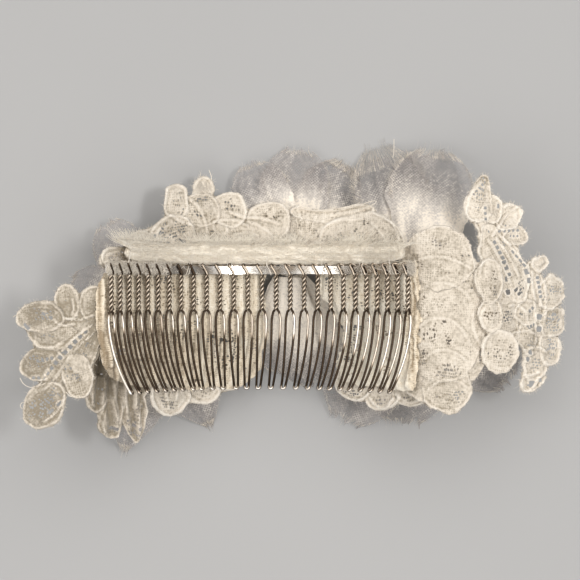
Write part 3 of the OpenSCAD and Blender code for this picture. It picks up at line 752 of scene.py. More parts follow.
# The ground behind the teeth, as in the solids but with rounded lower corners
OUTLINES = {
    "backing_left": [
        (-47.6, 9.4), (-49.6, 5.4), (-51.4, 1.8), (-50.6, -8), (-49.8, -18), (-48.4, -21.4),
        (-44.0, -24.0), (-30, -25.6), (-13.6, -25.4), (-8, -20.4), (-6.4, -10), (-7.6, 0), (-6.4, 9.4),
    ],
    "backing_right": [
        (8.4, 9.4), (8.0, 2.6), (11.0, -3.0), (15.0, -8), (12.8, -18), (14.4, -24.6), (26, -25.6),
        (32.6, -25.0), (34.4, -22.6), (34.4, -8), (34.0, 9.4),
    ],
}

# Runs of sewn holes, as in the solids but for the last two of the right sprig: first and last hole, count,
# length and width
HOLES = {
    "left_sprig": [
        (-54.6, -8.8, -65.0, -20.0, 9, 1.1, 1.1), (-67.4, -16.8, -63.4, -16.0, 4, 0.8, 0.9),
        (-65.8, -4.2, -64.0, -5.2, 2, 1.1, 0.8), (-70.4, -7.6, -69.4, -8.4, 1, 2.4, 0.8),
        (-64.0, -30.4, -61.6, -28.2, 2, 1.8, 0.8), (-68.8, -21.4, -66.0, -21.4, 3, 0.8, 0.8),
    ],
    "lower_left_lace": [
        (-48.8, -36.0, -48.6, -36.0, 1, 2.2, 0.8), (-43.4, -35.6, -42.0, -36.0, 2, 0.9, 1.0),
    ],
    "top_left_lace": [
        (-37.6, 17.2, -36.2, 18.2, 2, 0.9, 1.1), (-35.4, 15.8, -34.0, 15.2, 2, 0.9, 1.1),
        (-29.8, 15.8, -29.6, 15.8, 1, 1.1, 1.1),
    ],
    "right_sprig": [
        (50.2, 28.4, 52.6, 31.0, 4, 0.6, 0.6), (53.2, 24.6, 53.4, 21.6, 3, 0.8, 0.8),
        (57.0, 25.2, 57.0, 25.1, 1, 1.2, 0.7), (57.2, 18.2, 62.6, 18.6, 5, 0.7, 0.7),
        (60.6, 17.0, 62.6, 17.0, 3, 0.5, 0.6), (55.6, 15.2, 57.8, 11.0, 4, 1.0, 0.9),
        (58.1, 9.8, 59.4, 6.4, 3, 0.9, 1.2), (60.8, 12.6, 64.0, 9.0, 4, 1.1, 0.6),
        (64.7, 7.2, 65.4, 4.8, 2, 1.5, 1.1), (58.9, 5.2, 59.2, 1.6, 2, 1.4, 1.1),
        (61.4, 2.2, 62.4, 1.2, 2, 0.8, 1.1), (68.0, 5.6, 69.0, 0.4, 5, 0.8, 1.0),
        (66.6, -2.8, 65.6, -3.6, 2, 0.8, 0.9), (68.7, -5.2, 68.5, -8.6, 2, 1.5, 1.2),
        (65.2, -8.0, 67.0, -7.4, 3, 0.6, 0.9), (65.5, -14.9, 65.0, -16.8, 2, 1.2, 0.9),
        (66.4, -23.6, 66.5, -23.6, 1, 1.6, 1.6), (68.6, -22.6, 68.7, -22.6, 1, 1.1, 1.1),
    ],
}

# Raised cords, as points on the photograph
CORDS = {
    "left_sprig": [
        [(64, 318), (76, 320), (88, 318), (102, 311)],
        [(92, 325), (82, 332), (70, 342), (60, 353), (52, 364), (44, 376), (38, 386)],
        [(98, 328), (88, 338), (74, 351), (66, 362), (58, 374), (50, 384), (42, 392)],
        [(64, 396), (62, 406), (54, 416), (44, 422)], [(72, 300), (74, 309), (72, 315)],
        [(54, 320), (62, 326), (74, 324)], [(33, 345), (46, 348), (58, 346), (68, 338)],
    ],
    "lower_left_lace": [
        [(90, 380), (89, 392), (95, 406)], [(100, 420), (104, 432), (112, 436)],
        [(97, 424), (102, 440), (113, 443), (118, 434)], [(150, 380), (143, 400), (138, 420)],
        [(110, 372), (114, 390), (118, 408)], [(124, 372), (126, 392), (128, 412)],
        [(136, 372), (136, 390), (134, 408)],
    ],
    "bottom_left_lace": [
        [(150, 392), (156, 410), (168, 417), (184, 412)], [(186, 392), (196, 402), (210, 402), (220, 392)],
        [(162, 380), (164, 394), (168, 408)], [(176, 380), (176, 394), (174, 406)],
    ],
    "top_left_lace": [
        [(156, 243), (157, 235), (160, 228)], [(214, 222), (226, 219), (240, 221), (247, 226)],
        [(214, 222), (213, 230), (222, 236), (228, 232), (226, 227)],
        [(230, 212), (246, 218), (262, 218), (280, 224)], [(190, 200), (198, 207), (206, 222), (208, 238)],
        [(104, 262), (120, 258), (140, 252), (154, 244)], [(250, 222), (264, 228), (274, 238), (278, 248)],
        [(168, 214), (182, 222), (194, 226)], [(232, 236), (246, 232), (258, 236)],
    ],
    "top_middle_lace": [
        [(288, 203), (300, 208), (318, 211), (336, 210), (356, 205), (378, 200)],
        [(330, 215), (348, 212), (364, 209), (378, 204)], [(380, 211), (392, 221), (400, 238), (401, 254)],
        [(316, 236), (322, 226), (342, 219), (362, 219)], [(300, 214), (302, 228), (306, 240)],
        [(308, 214), (308, 226), (306, 238)], [(294, 212), (298, 226), (304, 240)],
        [(316, 216), (312, 226), (308, 238)], [(320, 244), (334, 243), (350, 245), (364, 252)],
        [(372, 222), (384, 236), (392, 252)], [(352, 232), (358, 244), (362, 256)],
    ],
    "right_main_lace": [
        [(404, 250), (408, 234), (420, 227), (440, 226), (462, 228), (474, 240)],
        [(412, 262), (430, 256), (452, 258), (470, 268)],
        [(412, 296), (428, 284), (448, 282), (466, 292), (474, 308)],
        [(416, 330), (430, 318), (448, 318), (462, 328), (470, 344)],
        [(420, 362), (434, 350), (452, 350), (466, 360)], [(428, 390), (440, 380), (456, 380), (468, 388)],
        [(424, 400), (436, 410), (452, 412), (466, 404), (472, 392)],
        [(480, 250), (474, 262), (474, 280), (480, 296)], [(478, 304), (472, 318), (474, 334), (482, 346)],
    ],
    "right_lobes": [
        [(482, 262), (478, 276), (480, 290), (488, 300)], [(500, 262), (503, 276), (500, 290)],
        [(484, 308), (480, 318), (484, 328)], [(486, 338), (482, 350), (486, 362), (496, 370), (508, 368)],
    ],
    "right_sprig": [
        [(466, 216), (468, 200), (476, 186), (484, 180)], [(492, 236), (500, 224), (512, 210), (522, 204)],
        [(488, 240), (496, 254), (502, 268), (508, 280), (514, 300)],
        [(496, 238), (504, 250), (512, 264), (518, 276)], [(500, 236), (512, 248), (524, 262), (532, 274)],
        [(508, 306), (516, 304), (526, 312), (528, 322)], [(512, 334), (524, 330), (534, 334)],
        [(532, 272), (532, 290), (536, 306), (536, 326), (534, 342)],
        [(542, 276), (546, 292), (546, 306), (544, 326)], [(524, 350), (536, 346), (546, 352)],
        [(520, 374), (514, 386), (520, 393), (530, 390), (538, 378)], [(520, 374), (530, 376), (538, 372)],
    ],
    "bottom_right_lace": [
        [(336, 386), (344, 398), (356, 402), (368, 394)], [(368, 396), (378, 408), (388, 408), (394, 398)],
        [(396, 394), (408, 404), (420, 400)],
    ],
    "backing_left": [
        [(98, 288), (97, 312), (99, 338), (104, 362)], [(104, 280), (103, 306), (106, 336), (112, 366)],
        [(110, 300), (110, 330), (116, 360), (120, 380)],
    ],
    "backing_right": [
        [(408, 276), (412, 300), (408, 330), (411, 360), (406, 386)],
        [(414, 280), (417, 310), (413, 342), (416, 372)],
    ],
}

# The top middle lace ends above at this folded edge on the photograph
TOP_MIDDLE_EDGE = [(286, 199), (300, 206), (318, 211), (336, 210), (356, 205), (378, 199)]

# Open net, as spots on the photograph: x, y, direction in degrees, length, width, openness
NETS = {
    "left_sprig": [
        (43, 316, 20, 22, 15, 0.55), (66, 306, 80, 24, 10, 0.35), (46, 336, 0, 22, 12, 0.35),
        (38, 361, 10, 24, 16, 0.6), (42, 405, 50, 34, 24, 0.6), (66, 368, -45, 16, 9, 0.95),
        (62, 398, -50, 16, 7, 0.95), (84, 338, 30, 18, 12, 0.3), (76, 348, 45, 16, 8, 0.5),
        (74, 318, 0, 16, 6, 0.7), (78, 380, -50, 16, 12, 0.45), (92, 352, 60, 14, 10, 0.25),
    ],
    "lower_left_lace": [
        (104, 428, 20, 16, 10, 0.4), (134, 433, -30, 14, 8, 1.0), (96, 396, 80, 22, 8, 0.4),
        (138, 412, 80, 30, 10, 0.5),
    ],
    "bottom_left_lace": [
        (170, 400, 0, 24, 18, 0.5), (201, 392, 0, 24, 12, 0.45),
    ],
    "top_left_lace": [
        (118, 254, 20, 22, 10, 0.4), (142, 241, 10, 24, 12, 0.35), (172, 230, 30, 30, 22, 0.55),
        (182, 231, 62, 24, 8, 1.0), (208, 240, 62, 22, 8, 1.0), (178, 200, 70, 22, 14, 0.35),
        (202, 198, 10, 18, 7, 0.6), (234, 208, -20, 16, 8, 0.6), (262, 208, -15, 22, 8, 0.55),
        (206, 215, 0, 20, 12, 0.3), (268, 216, -20, 30, 5, 0.6), (184, 212, 60, 12, 8, 0.6),
        (196, 232, 62, 16, 5, 0.8), (222, 244, 10, 14, 5, 0.7), (250, 242, 10, 26, 8, 0.4),
    ],
    "top_middle_lace": [
        (332, 238, 5, 26, 9, 1.1), (360, 238, 60, 16, 7, 0.4), (378, 236, 60, 10, 6, 0.6),
        (362, 246, 60, 12, 5, 0.7), (300, 220, 80, 20, 4, 0.6), (312, 226, 70, 14, 4, 0.6),
        (386, 226, 60, 20, 6, 0.3), (344, 224, 10, 30, 6, 0.2), (340, 248, 0, 30, 3, 0.5),
    ],
    "right_main_lace": [
        (440, 240, 0, 46, 20, 0.25), (446, 272, 0, 40, 18, 0.22), (446, 304, 0, 40, 20, 0.28),
        (446, 340, 0, 36, 20, 0.32), (448, 372, 0, 34, 18, 0.45), (448, 398, 0, 30, 16, 0.45),
        (470, 255, 20, 6, 4, 0.7), (476, 255, 20, 6, 4, 0.7),
    ],
    "right_lobes": [
        (490, 280, 80, 34, 14, 0.35), (490, 314, 80, 24, 14, 0.35), (501, 350, 80, 32, 18, 0.4),
    ],
    "right_sprig": [
        (478, 200, 70, 28, 14, 0.4), (484, 180, 40, 10, 7, 0.9), (502, 216, 40, 24, 9, 0.2),
        (516, 290, 70, 34, 14, 0.4), (548, 294, 80, 26, 12, 0.55), (553, 322, 80, 22, 14, 0.65),
        (552, 350, 80, 22, 12, 0.55), (530, 345, 60, 22, 12, 0.5), (535, 366, 70, 22, 10, 0.6),
        (520, 264, 60, 20, 4, 0.5),
    ],
    "bottom_right_lace": [
        (352, 392, 0, 20, 10, 0.5), (379, 401, 0, 16, 10, 0.5), (409, 398, 0, 20, 8, 0.4),
    ],
    "backing_left": [
        (222, 350, 80, 44, 40, 0.75), (240, 310, 70, 40, 18, 0.5), (205, 368, 0, 20, 8, 0.6),
    ],
    "backing_right": [
        (352, 350, 80, 40, 20, 0.6),
    ],
}

# Soft patches that are darker or paler, as spots on the photograph: x, y, direction, length, width, change.
# They are partly the lace's own tone and partly painted shade and painted light
TONE_AND_SHADE_PATCHES = [
    (103, 358, 80, 70, 18, -0.34), (114, 374, 60, 50, 30, -0.26), (250, 239, 2, 260, 16, 0.14),
    (101, 310, 85, 80, 24, -0.30), (372, 288, 0, 80, 34, -0.32), (413, 325, 90, 150, 15, -0.60),
    (156, 352, 80, 66, 100, -0.24), (150, 285, 0, 110, 26, -0.10), (222, 300, 0, 60, 40, 0.10),
    (40, 405, 0, 30, 26, -0.12), (36, 316, 20, 24, 18, -0.14), (450, 200, 0, 60, 40, 0.10),
    (380, 345, 80, 60, 50, 0.10), (540, 290, 80, 40, 26, 0.10), (185, 235, 40, 50, 30, -0.10),
    (48, 362, 0, 26, 18, -0.10),
]

# How lace is made
POINTED_TAPER = 0.32
# A sheet's least area, as a share of its flat width times its length
LEAST_AREA = 0.31
CORD_IN, CORD_HALF, CORD_H, CORD_PITCH = 0.34, 0.42, 0.36, 0.95
LINE_HALF, LINE_H = 0.36, 0.30
PIN_LONG, PIN_WIDE, PIN_OPEN_R, PIN_MAX_R = 0.94, 0.68, 0.13, 0.285
HOLE_ROUND = 0.2
PX_TO_MM = 1 / 3.62
EDGE_FADE = (1.0, 3.4)
LOBE_LIFT = 0.55
WEB = 2.2
CLOTH_DEPTH = 0.35
FRAY_R = 0.055
FAR = 9.0
# The flat cloth that the ripples and cords take up, beside the plain area
RIPPLE = 1.25
# The top middle lace tucks under its left neighbour up to this place
SEAM_X = -2.8

# What each motif's cloth is like, unless its own row says otherwise. Its layer, counted down from the comb,
# gives its depth on the lace's surface. s_range and y_range hold its reach along that curve and along Y, open
# how open its net is, wave its folds' pitch, height and direction in degrees, tuck how deep it goes under its
# neighbour, and fray its loose fibres per mm of edge
PLAIN_LACE = {
    "step": 0.2, "open": 0.16, "wave": None, "tone": 0.60, "relief": 1.0, "rough": 0.45, "edge": None,
    "tuck": 0.0, "fray": 0.35, "surface": lace_surface, "y_range": (-46, 46), "held": "draped",
}
LACE = {
    "backing_left": {"layer": 1, "s_range": (-56, 35), "seed": 21, "step": 0.24, "open": 0.3,
                     "wave": (4.0, 0.35, 4)},
    # Its high tone is painted light, against the shade under the wires.
    "backing_right": {"layer": 1, "s_range": (-20, 60), "seed": 22, "step": 0.24, "open": 0.3,
                      "wave": (4.0, 0.35, -4), "tone": 0.95, "rough": 1.1},
    "top_left_lace": {"layer": 2, "s_range": (-57, 35), "seed": 3, "relief": 0.8, "tone": 0.50, "fray": 0.9},
    "top_middle_lace": {"layer": 2, "s_range": (-35, 58), "seed": 4, "relief": 0.8, "tone": 0.56,
                        "edge": TOP_MIDDLE_EDGE, "tuck": 1.3},
    # Its low tone is painted shade on the left wing.
    "left_sprig": {"layer": 2, "s_range": (WING_LEFT_S - 1.0, -35), "seed": 5, "step": 0.18, "tone": 0.25,
                   "fray": 1.2},
    "bottom_left_lace": {"layer": 2, "s_range": (-45, 35), "seed": 6},
    "right_main_lace": {"layer": 2, "s_range": (35, WING_RIGHT_S), "seed": 7, "relief": 0.6, "tone": 0.45,
                        "rough": 0.8, "fray": 0.8},
    "right_lobes": {"layer": 1, "s_range": (46, WING_RIGHT_S), "seed": 8, "relief": 0.65, "tone": 0.52,
                    "rough": 0.7},
    "right_sprig": {"layer": 3, "s_range": (46, WING_RIGHT_S + 1.2), "seed": 9, "step": 0.17, "tone": 0.56,
                    "rough": 1.0, "fray": 4.0},
    "bottom_right_lace": {"layer": 3, "s_range": (-35, 60), "seed": 10, "fray": 1.2},
    # Its low tone is painted shade, as it hangs lower.
    "lower_left_lace": {"s_range": (-20, 24), "seed": 12, "wave": (2.8, 1.05, 0), "tone": 0.30,
                        "surface": lower_left_surface, "y_range": (-30, 14), "held": "gathered"},
}


def lobe_distance(x, y, row):
    """Distance inside a lobe's outline, and the place along and across the lobe."""
    x0, y0, direction, length, width, *pointed = row
    along, across = turned(x - x0 - TABLE_X, y - y0, math.radians(direction))
    a = 2 * along / length
    b = 2 * across / width / (1 - POINTED_TAPER * sum(pointed) * (1 + np.clip(a, -1, 1)))
    q = np.hypot(a, b) + 1e-6
    slope = np.hypot(2 * a / length, 2 * b / width) / q
    return np.minimum((1 - q) / slope, width / 2), along, across


def outline_distance(x, y, outline):
    """Distance inside a closed outline."""
    line = np.array(outline) + (TABLE_X, 0)
    closed = np.concatenate([line, line[:1]])
    d, _ = line_distance(x, y, closed)
    inside = np.zeros(np.shape(x), bool)
    for (x0, y0), (x1, y1) in zip(closed[:-1], closed[1:]):
        if y0 != y1:
            inside ^= ((y0 > y) != (y1 > y)) & (x < x0 + (y - y0) * (x1 - x0) / (y1 - y0))
    return np.where(inside, d, -d)


def motif_distance(x, y, name):
    """Distance inside the outer shape of a whole motif."""
    if name in OUTLINES:
        return outline_distance(x, y, OUTLINES[name])
    return np.max([lobe_distance(x, y, row)[0] for row in LOBES[name]], axis=0)


def hole_distance(x, y, row):
    """Distance outside the nearest hole of a run."""
    x0, y0, x1, y1, count, length, width = row
    heading = math.atan2(y1 - y0, x1 - x0)
    best = np.full(np.shape(x), FAR)
    for k in range(count):
        t = k / max(count - 1, 1)
        along, across = turned(x - x0 - t * (x1 - x0) - TABLE_X, y - y0 - t * (y1 - y0), heading)
        along = np.abs(along) - length / 2 + HOLE_ROUND
        across = np.abs(across) - width / 2 + HOLE_ROUND
        d = np.hypot(np.maximum(along, 0), np.maximum(across, 0)) + np.minimum(np.maximum(along, across), 0)
        best = np.minimum(best, d - HOLE_ROUND)
    return best


def spot(cloth, x, y, direction, length, width):
    """How far out each place is in an oval on the photograph: 1 at its rim."""
    along, across = turned(cloth.px - x, cloth.py - y, -math.radians(direction))
    return np.hypot(2 * along / length, 2 * across / width)


def pinholes(along, across, openness, seed):
    """Distance outside the nearest pinhole, and its radius. Their rows are loose and some are closed."""
    gu = along / PIN_LONG
    row = np.floor(gu)
    gv = across / PIN_WIDE + 0.5 * (row % 2)
    col = np.floor(gv)
    i, j = row.astype(int) + 31 * seed, col.astype(int) + 57

    def chance(down, over):
        return NOISE_TABLE[(i + down) % NOISE_SIDE, (j + over) % NOISE_SIDE]

    du = (gu - row - 0.5 - 0.20 * chance(0, 0)) * PIN_LONG
    dv = (gv - col - 0.5 - 0.20 * chance(40, 73)) * PIN_WIDE
    radius = np.where(chance(17, 97) > -0.5, 0.44 * openness * (1 + 0.4 * chance(90, 11)), 0)
    return np.hypot(0.8 * du, dv), np.clip(radius, 0, PIN_MAX_R)


def shape_outline(cloth, look):
    """A plain cloth that falls away at its edge."""
    x, y = cloth.x, cloth.y
    cloth.inside = outline_distance(x, y, OUTLINES[look.name]) + 2 * cloth.rough + 0.7 * noise(x, y, 4.5, 3)
    cloth.under = cloth.inside
    cloth.height -= 0.9 * ramp(-cloth.inside, -2.6, 0)
    cloth.tone -= 0.10 * ramp(-cloth.inside, -1.6, 0)


def shape_lobes(cloth, look):
    """Overlapping lobes with corded rims, the first of the table on top, joined by a web."""
    own_noise, relief = cloth.own_noise, look.relief
    wx = cloth.x + 0.6 * own_noise(5.5, 21) + 0.15 * own_noise(2.2, 22)
    wy = cloth.y + 0.6 * own_noise(5.5, 23) + 0.15 * own_noise(2.2, 24)
    total = np.zeros(wx.shape)
    for k, row in enumerate(reversed(LOBES[look.name])):
        length, width = row[3:5]
        d, a, b = lobe_distance(wx, wy, row)
        d = d + cloth.rough + 0.28 * own_noise(3.4, k + 5)
        total += np.exp(WEB * np.clip(d, -8, 8))
        fade = 1 - ramp(cloth.under, *EDGE_FADE)
        lift = LOBE_LIFT * relief * (0.4 + 0.6 * (0.5 + 0.5 * math.sin(2.4 * k + look.seed)))
        round_it = np.arctan2(2 * b / width, 2 * a / length) * (length + width) / 4
        twist = 1 + 0.12 * np.sin(2 * math.pi * (round_it + 0.8 * d) / CORD_PITCH)
        wander = 0.55 + 0.45 * ramp(own_noise(3.2, k + 9), -0.7, 0.4)
        cord = bump((d - CORD_IN) / CORD_HALF) * fade * twist * wander
        second = bump((d - 1.7) / 0.32) * fade * ramp(own_noise(3.2, k), -0.25, 0.2)
        valley = ramp(-np.abs(d - 1.15), -0.45, 0) * fade
        ribs = np.sin(2 * math.pi * round_it / 1.05) * ramp(-np.abs(d - 1.6), -0.9, -0.2) * fade
        dish = -0.7 * ramp(d, 0.8, width / 2) * math.cos(1.3 * k + look.seed)
        raised = lift * fade * ramp(d, 0, 0.35) + relief * (CORD_H * cord + 0.12 * second) + dish
        raised += relief * (0.03 * ribs - 0.08 * valley)
        shade = relief * ramp(d, -1.3, 0) * (1 - ramp(d, -0.05, 0.05)) * fade
        # Painted shade: darker in the furrow inside the rim and towards the lobe's middle.
        own = 0.32 * cord + 0.08 * second - 0.14 * valley - 0.08 * ramp(d, 1.2, 2.8)
        own = look.tone + relief * own + 0.05 * math.sin(1.7 * k + look.seed)
        on = d > 0
        cloth.height = np.where(on, raised, cloth.height - 0.2 * shade * (cloth.under > 0))
        cloth.tone = np.where(on, own, cloth.tone - 0.16 * shade)
        cloth.along, cloth.across = np.where(on, a, cloth.along), np.where(on, b, cloth.across)
        cloth.inside = np.where(on, d, cloth.inside)
        cloth.under = np.maximum(cloth.under, d)
    cloth.tone = np.where(cloth.under < 0, cloth.tone - 0.12, cloth.tone)
    cloth.under = np.maximum(cloth.under, np.log(total + 1e-9) / WEB)


def add_ripples(cloth, look):
    """Soft ripples, and the folds of a gathered or crumpled cloth."""
    own_noise = cloth.own_noise
    cloth.height += 0.42 * own_noise(8, 1) + 0.26 * own_noise(3.0, 2)
    cloth.height += 0.10 * own_noise(0.9, 3)
    if look.wave:
        pitch, amount, direction = look.wave
        t = turned(cloth.x, cloth.y, math.radians(direction))[0] + 0.9 * own_noise(7, 4)
        fold = np.sin(2 * math.pi * t / pitch) * ramp(cloth.field, 0, 2)
        cloth.height += amount * fold
        # Painted light and shade: the tone rises on the folds' crests and falls in their hollows.
        cloth.tone += (0.08 + 0.12 * amount) * fold


def add_net(cloth, look):
    """Pinholes: pierced where the net is open, and shut in shallow dimples where it is closer; painted shade
    darkens each one.
    """
    own_noise, inside = cloth.own_noise, cloth.inside
    openness = look.open * ramp(inside, 1.1, 2.0)
    for *oval, most in NETS[look.name]:
        openness = np.maximum(openness, most * ramp(-spot(cloth, *oval), -1.15, -0.7))
    openness = openness * (0.72 + 0.55 * own_noise(2.6, 6))
    openness += 0.42 * ramp(own_noise(2.2, 7), 0.30, 0.75) * ramp(inside, 1.0, 1.8)
    along = cloth.along + 0.8 * own_noise(4, 8)
    across = cloth.across + 0.8 * own_noise(4, 9)
    cell, hole_r = pinholes(along, across, openness, look.seed)
    pierced = (hole_r > PIN_OPEN_R) & (inside > 0.85)
    cloth.field = np.minimum(cloth.field, np.where(pierced, cell - hole_r, FAR))
    # Painted shade at each pinhole, shut or pierced.
    pin_shade = ramp(-cell, -0.34, -0.10) * ramp(hole_r, 0.02, 0.12) * (inside > 0.7)
    cloth.height -= 0.10 * pin_shade
    cloth.tone -= (0.16 + 0.34 * ramp(openness, 0.08, 0.4)) * pin_shade + 0.08 * ramp(openness, 0.2, 0.9)


def add_tones(cloth):
    """Mottling from fine to broad, and the darker and paler patches, partly painted shade and light."""
    own_noise = cloth.own_noise
    cloth.tone += 0.15 * own_noise(0.5, 11) + 0.10 * own_noise(1.3, 12)
    for *oval, change in TONE_AND_SHADE_PATCHES:
        cloth.tone += change * ramp(-spot(cloth, *oval), -1.25, -0.5)
    cloth.tone += 0.07 * own_noise(6.0, 13)


def add_holes(cloth, look):
    """The larger sewn holes, each with a raised rim."""
    for row in HOLES.get(look.name, []):
        d = hole_distance(cloth.x, cloth.y, row)
        rim = bump((d - 0.25) / 0.3)
        cloth.height += 0.2 * rim
        cloth.tone += 0.14 * rim - 0.06 * ramp(-np.abs(d - 0.9), -0.5, 0)
        cloth.field = np.minimum(cloth.field, d)


def cut_edge(cloth, edge):
    """Ends the cloth above at a line on the photograph."""
    edge_x, edge_y = np.array(edge, float).T
    below = (cloth.py - np.interp(cloth.px, edge_x, edge_y)) * PX_TO_MM
    beside = np.maximum(edge_x[0] - cloth.px, cloth.px - edge_x[-1]) * PX_TO_MM
    cloth.field = np.minimum(cloth.field, np.maximum(below, beside))


def add_cords(cloth, look):
    """Raised cords with a furrow at each side, where the tone holds painted shade. They bridge open places.
    """
    for line in CORDS[look.name]:
        d, t = line_distance(cloth.px, cloth.py, smooth_line(line))
        d, t = d * PX_TO_MM, t * PX_TO_MM
        weight = 0.45 + 0.55 * ramp(noise(t, t * 0, 2.4, look.seed + 14), -0.7, 0.3)
        weight = (0.4 + 0.6 * look.relief) * weight
        ridge = weight * bump(d / LINE_HALF)
        twist = 1 + 0.12 * np.sin(2 * math.pi * t / CORD_PITCH)
        cloth.height += LINE_H * ridge * twist - 0.07 * weight * ramp(-d, -1.2, -0.4)
        # Lighter along the cord, and painted shade along the furrows beside it.
        cloth.tone += 0.26 * ridge - 0.20 * weight * ramp(-np.abs(d - 0.72), -0.4, 0)
        cloth.field = np.where(cloth.under > -0.2, np.maximum(cloth.field, 0.3 - d), cloth.field)


def shape_lace(points, look):
    """A motif's field, height, tone and thread coordinates at a grid of points."""
    x, y = points[..., 0], points[..., 1]
    px, py = to_photo(points)

    def own_noise(size, number):
        """One of the motif's own noises, with features of the given size."""
        return noise(x, y, size, look.seed + number)

    cloth = SimpleNamespace(
        x=x, y=y, px=px, py=py, own_noise=own_noise, height=np.zeros(x.shape), along=x, across=y,
        inside=np.full(x.shape, -FAR), under=np.full(x.shape, -FAR), tone=np.full(x.shape, look.tone),
        rough=look.rough * (0.24 * own_noise(0.62, 0) + 0.30 * own_noise(1.9, 1)))
    shape = shape_outline if look.name in OUTLINES else shape_lobes
    shape(cloth, look)
    cloth.field = cloth.under
    add_ripples(cloth, look)
    add_net(cloth, look)
    add_tones(cloth)
    add_holes(cloth, look)
    if look.edge:
        cut_edge(cloth, look.edge)
    add_cords(cloth, look)
    cloth.height -= look.tuck * ramp(SEAM_X + 4 - x, 0, 3)
    cloth.tone = np.clip(cloth.tone, 0, 1)
    return cloth


def grid_of(s_ends, y_ends, step):
    """A grid of places over a range along the lace's curve and a range along Y."""
    return np.meshgrid(np.arange(*s_ends, step), np.arange(*y_ends, step), indexing="ij")


def make_lace(name, look):
    """One lace motif as an open sheet with cords, net and holes, in place of its solid."""
    step, surface = look.step, look.surface
    depth = CLOTH_DEPTH + (LACE_LIFT + (look.layer - 1) * LAYER_PITCH if surface is lace_surface else 0)
    s, y = grid_of(look.s_range, look.y_range, 1.0)
    points = surface(s, y, depth)
    near = motif_distance(points[..., 0], points[..., 1], name) > -1.2
    s_ends = max(s[near].min() - 0.8, look.s_range[0]), min(s[near].max() + 0.8, look.s_range[1])
    s, y = grid_of(s_ends, (y[near].min() - 0.8, y[near].max() + 0.8), step)
    cloth = shape_lace(surface(s, y, depth), look)
    field, height = cloth.field, cloth.height
    border = np.ones(field.shape, bool)
    border[1:-1, 1:-1] = False
    field[border] = np.minimum(field[border], -0.01)
    small = 0.12 * step
    field = np.where(np.abs(field) < small, np.where(field > 0, small, -small), field)
    inside = joined_part(field > 0, np.unravel_index(int(np.argmax(field)), field.shape))
    field = np.where((field > 0) & ~inside, -small, field)
    first, second, share, faces = cover(field)

    def pick(values):
        flat = values.reshape(field.size, -1)
        return flat[first] * (1 - share[:, None]) + flat[second] * share[:, None]

    finish = backing_lit_finish if name in OUTLINES else lace_finish
    uv = pick(np.stack([cloth.along, cloth.across], -1))
    piece = make_piece(name + "_cloth", pick(surface(s, y, depth - height)), faces, finish,
                       tone=pick(cloth.tone)[:, 0], uv=uv)
    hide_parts(name)
    wide, tall = (np.ptp(s[inside]) + step) * MM, (np.ptp(y[inside]) + step) * MM
    area = RIPPLE * float(inside.sum()) * (step * MM) ** 2
    area = min(max(area, LEAST_AREA * wide * tall), wide * tall)
    fray = make_fray(look, field, height, s, y, depth)


def make_fray(look, field, height, s, y, depth):
    """Loose fibre ends along a motif's outer edge, as one joined piece."""
    inside = field > 0
    outside = joined_part(~inside, (0, 0))
    beside_outside = outside[:-2, 1:-1] | outside[2:, 1:-1] | outside[1:-1, :-2] | outside[1:-1, 2:]
    edge = np.zeros(inside.shape, bool)
    edge[1:-1, 1:-1] = inside[1:-1, 1:-1] & beside_outside
    ii, jj = np.nonzero(edge)
    draw = np.random.default_rng(100 + look.seed)
    wanted = int(len(ii) * (s[1, 0] - s[0, 0]) * look.fray)
    chosen = draw.choice(len(ii), size=min(max(wanted, 12), len(ii)), replace=False)
    ii, jj = ii[chosen], jj[chosen]
    out = -np.stack([field[ii + 1, jj] - field[ii - 1, jj], field[ii, jj + 1] - field[ii, jj - 1]], 1)
    out /= np.linalg.norm(out, axis=1)[:, None] + 1e-9
    out = np.stack(turned(out[:, 0], out[:, 1], -draw.normal(0, 0.7, len(ii))), 1)
    length = draw.uniform(0.35, 1.2, len(ii)) * (1 + 0.8 * (draw.random(len(ii)) > 0.9))
    t = np.linspace(-0.25, 1, 5)
    curl = draw.normal(0, 0.35, (len(ii), 1)) * t ** 2
    fs = s[ii, jj][:, None] + length[:, None] * (t * out[:, :1] - curl * out[:, 1:])
    fy = y[ii, jj][:, None] + length[:, None] * (t * out[:, 1:] + curl * out[:, :1])
    lift = height[ii, jj][:, None] - 0.1 + draw.uniform(-0.5, 0.6, (len(ii), 1)) * np.clip(t, 0, 1)
    paths = look.surface(fs, fy, depth - lift)
    return make_hair(look.name + "_fray", paths, FRAY_R, lace_finish, 0.8)


def make_all_lace():
    for name, own in LACE.items():
        make_lace(name, SimpleNamespace(name=name, **{**PLAIN_LACE, **own}))


# The sewn roll above the bar

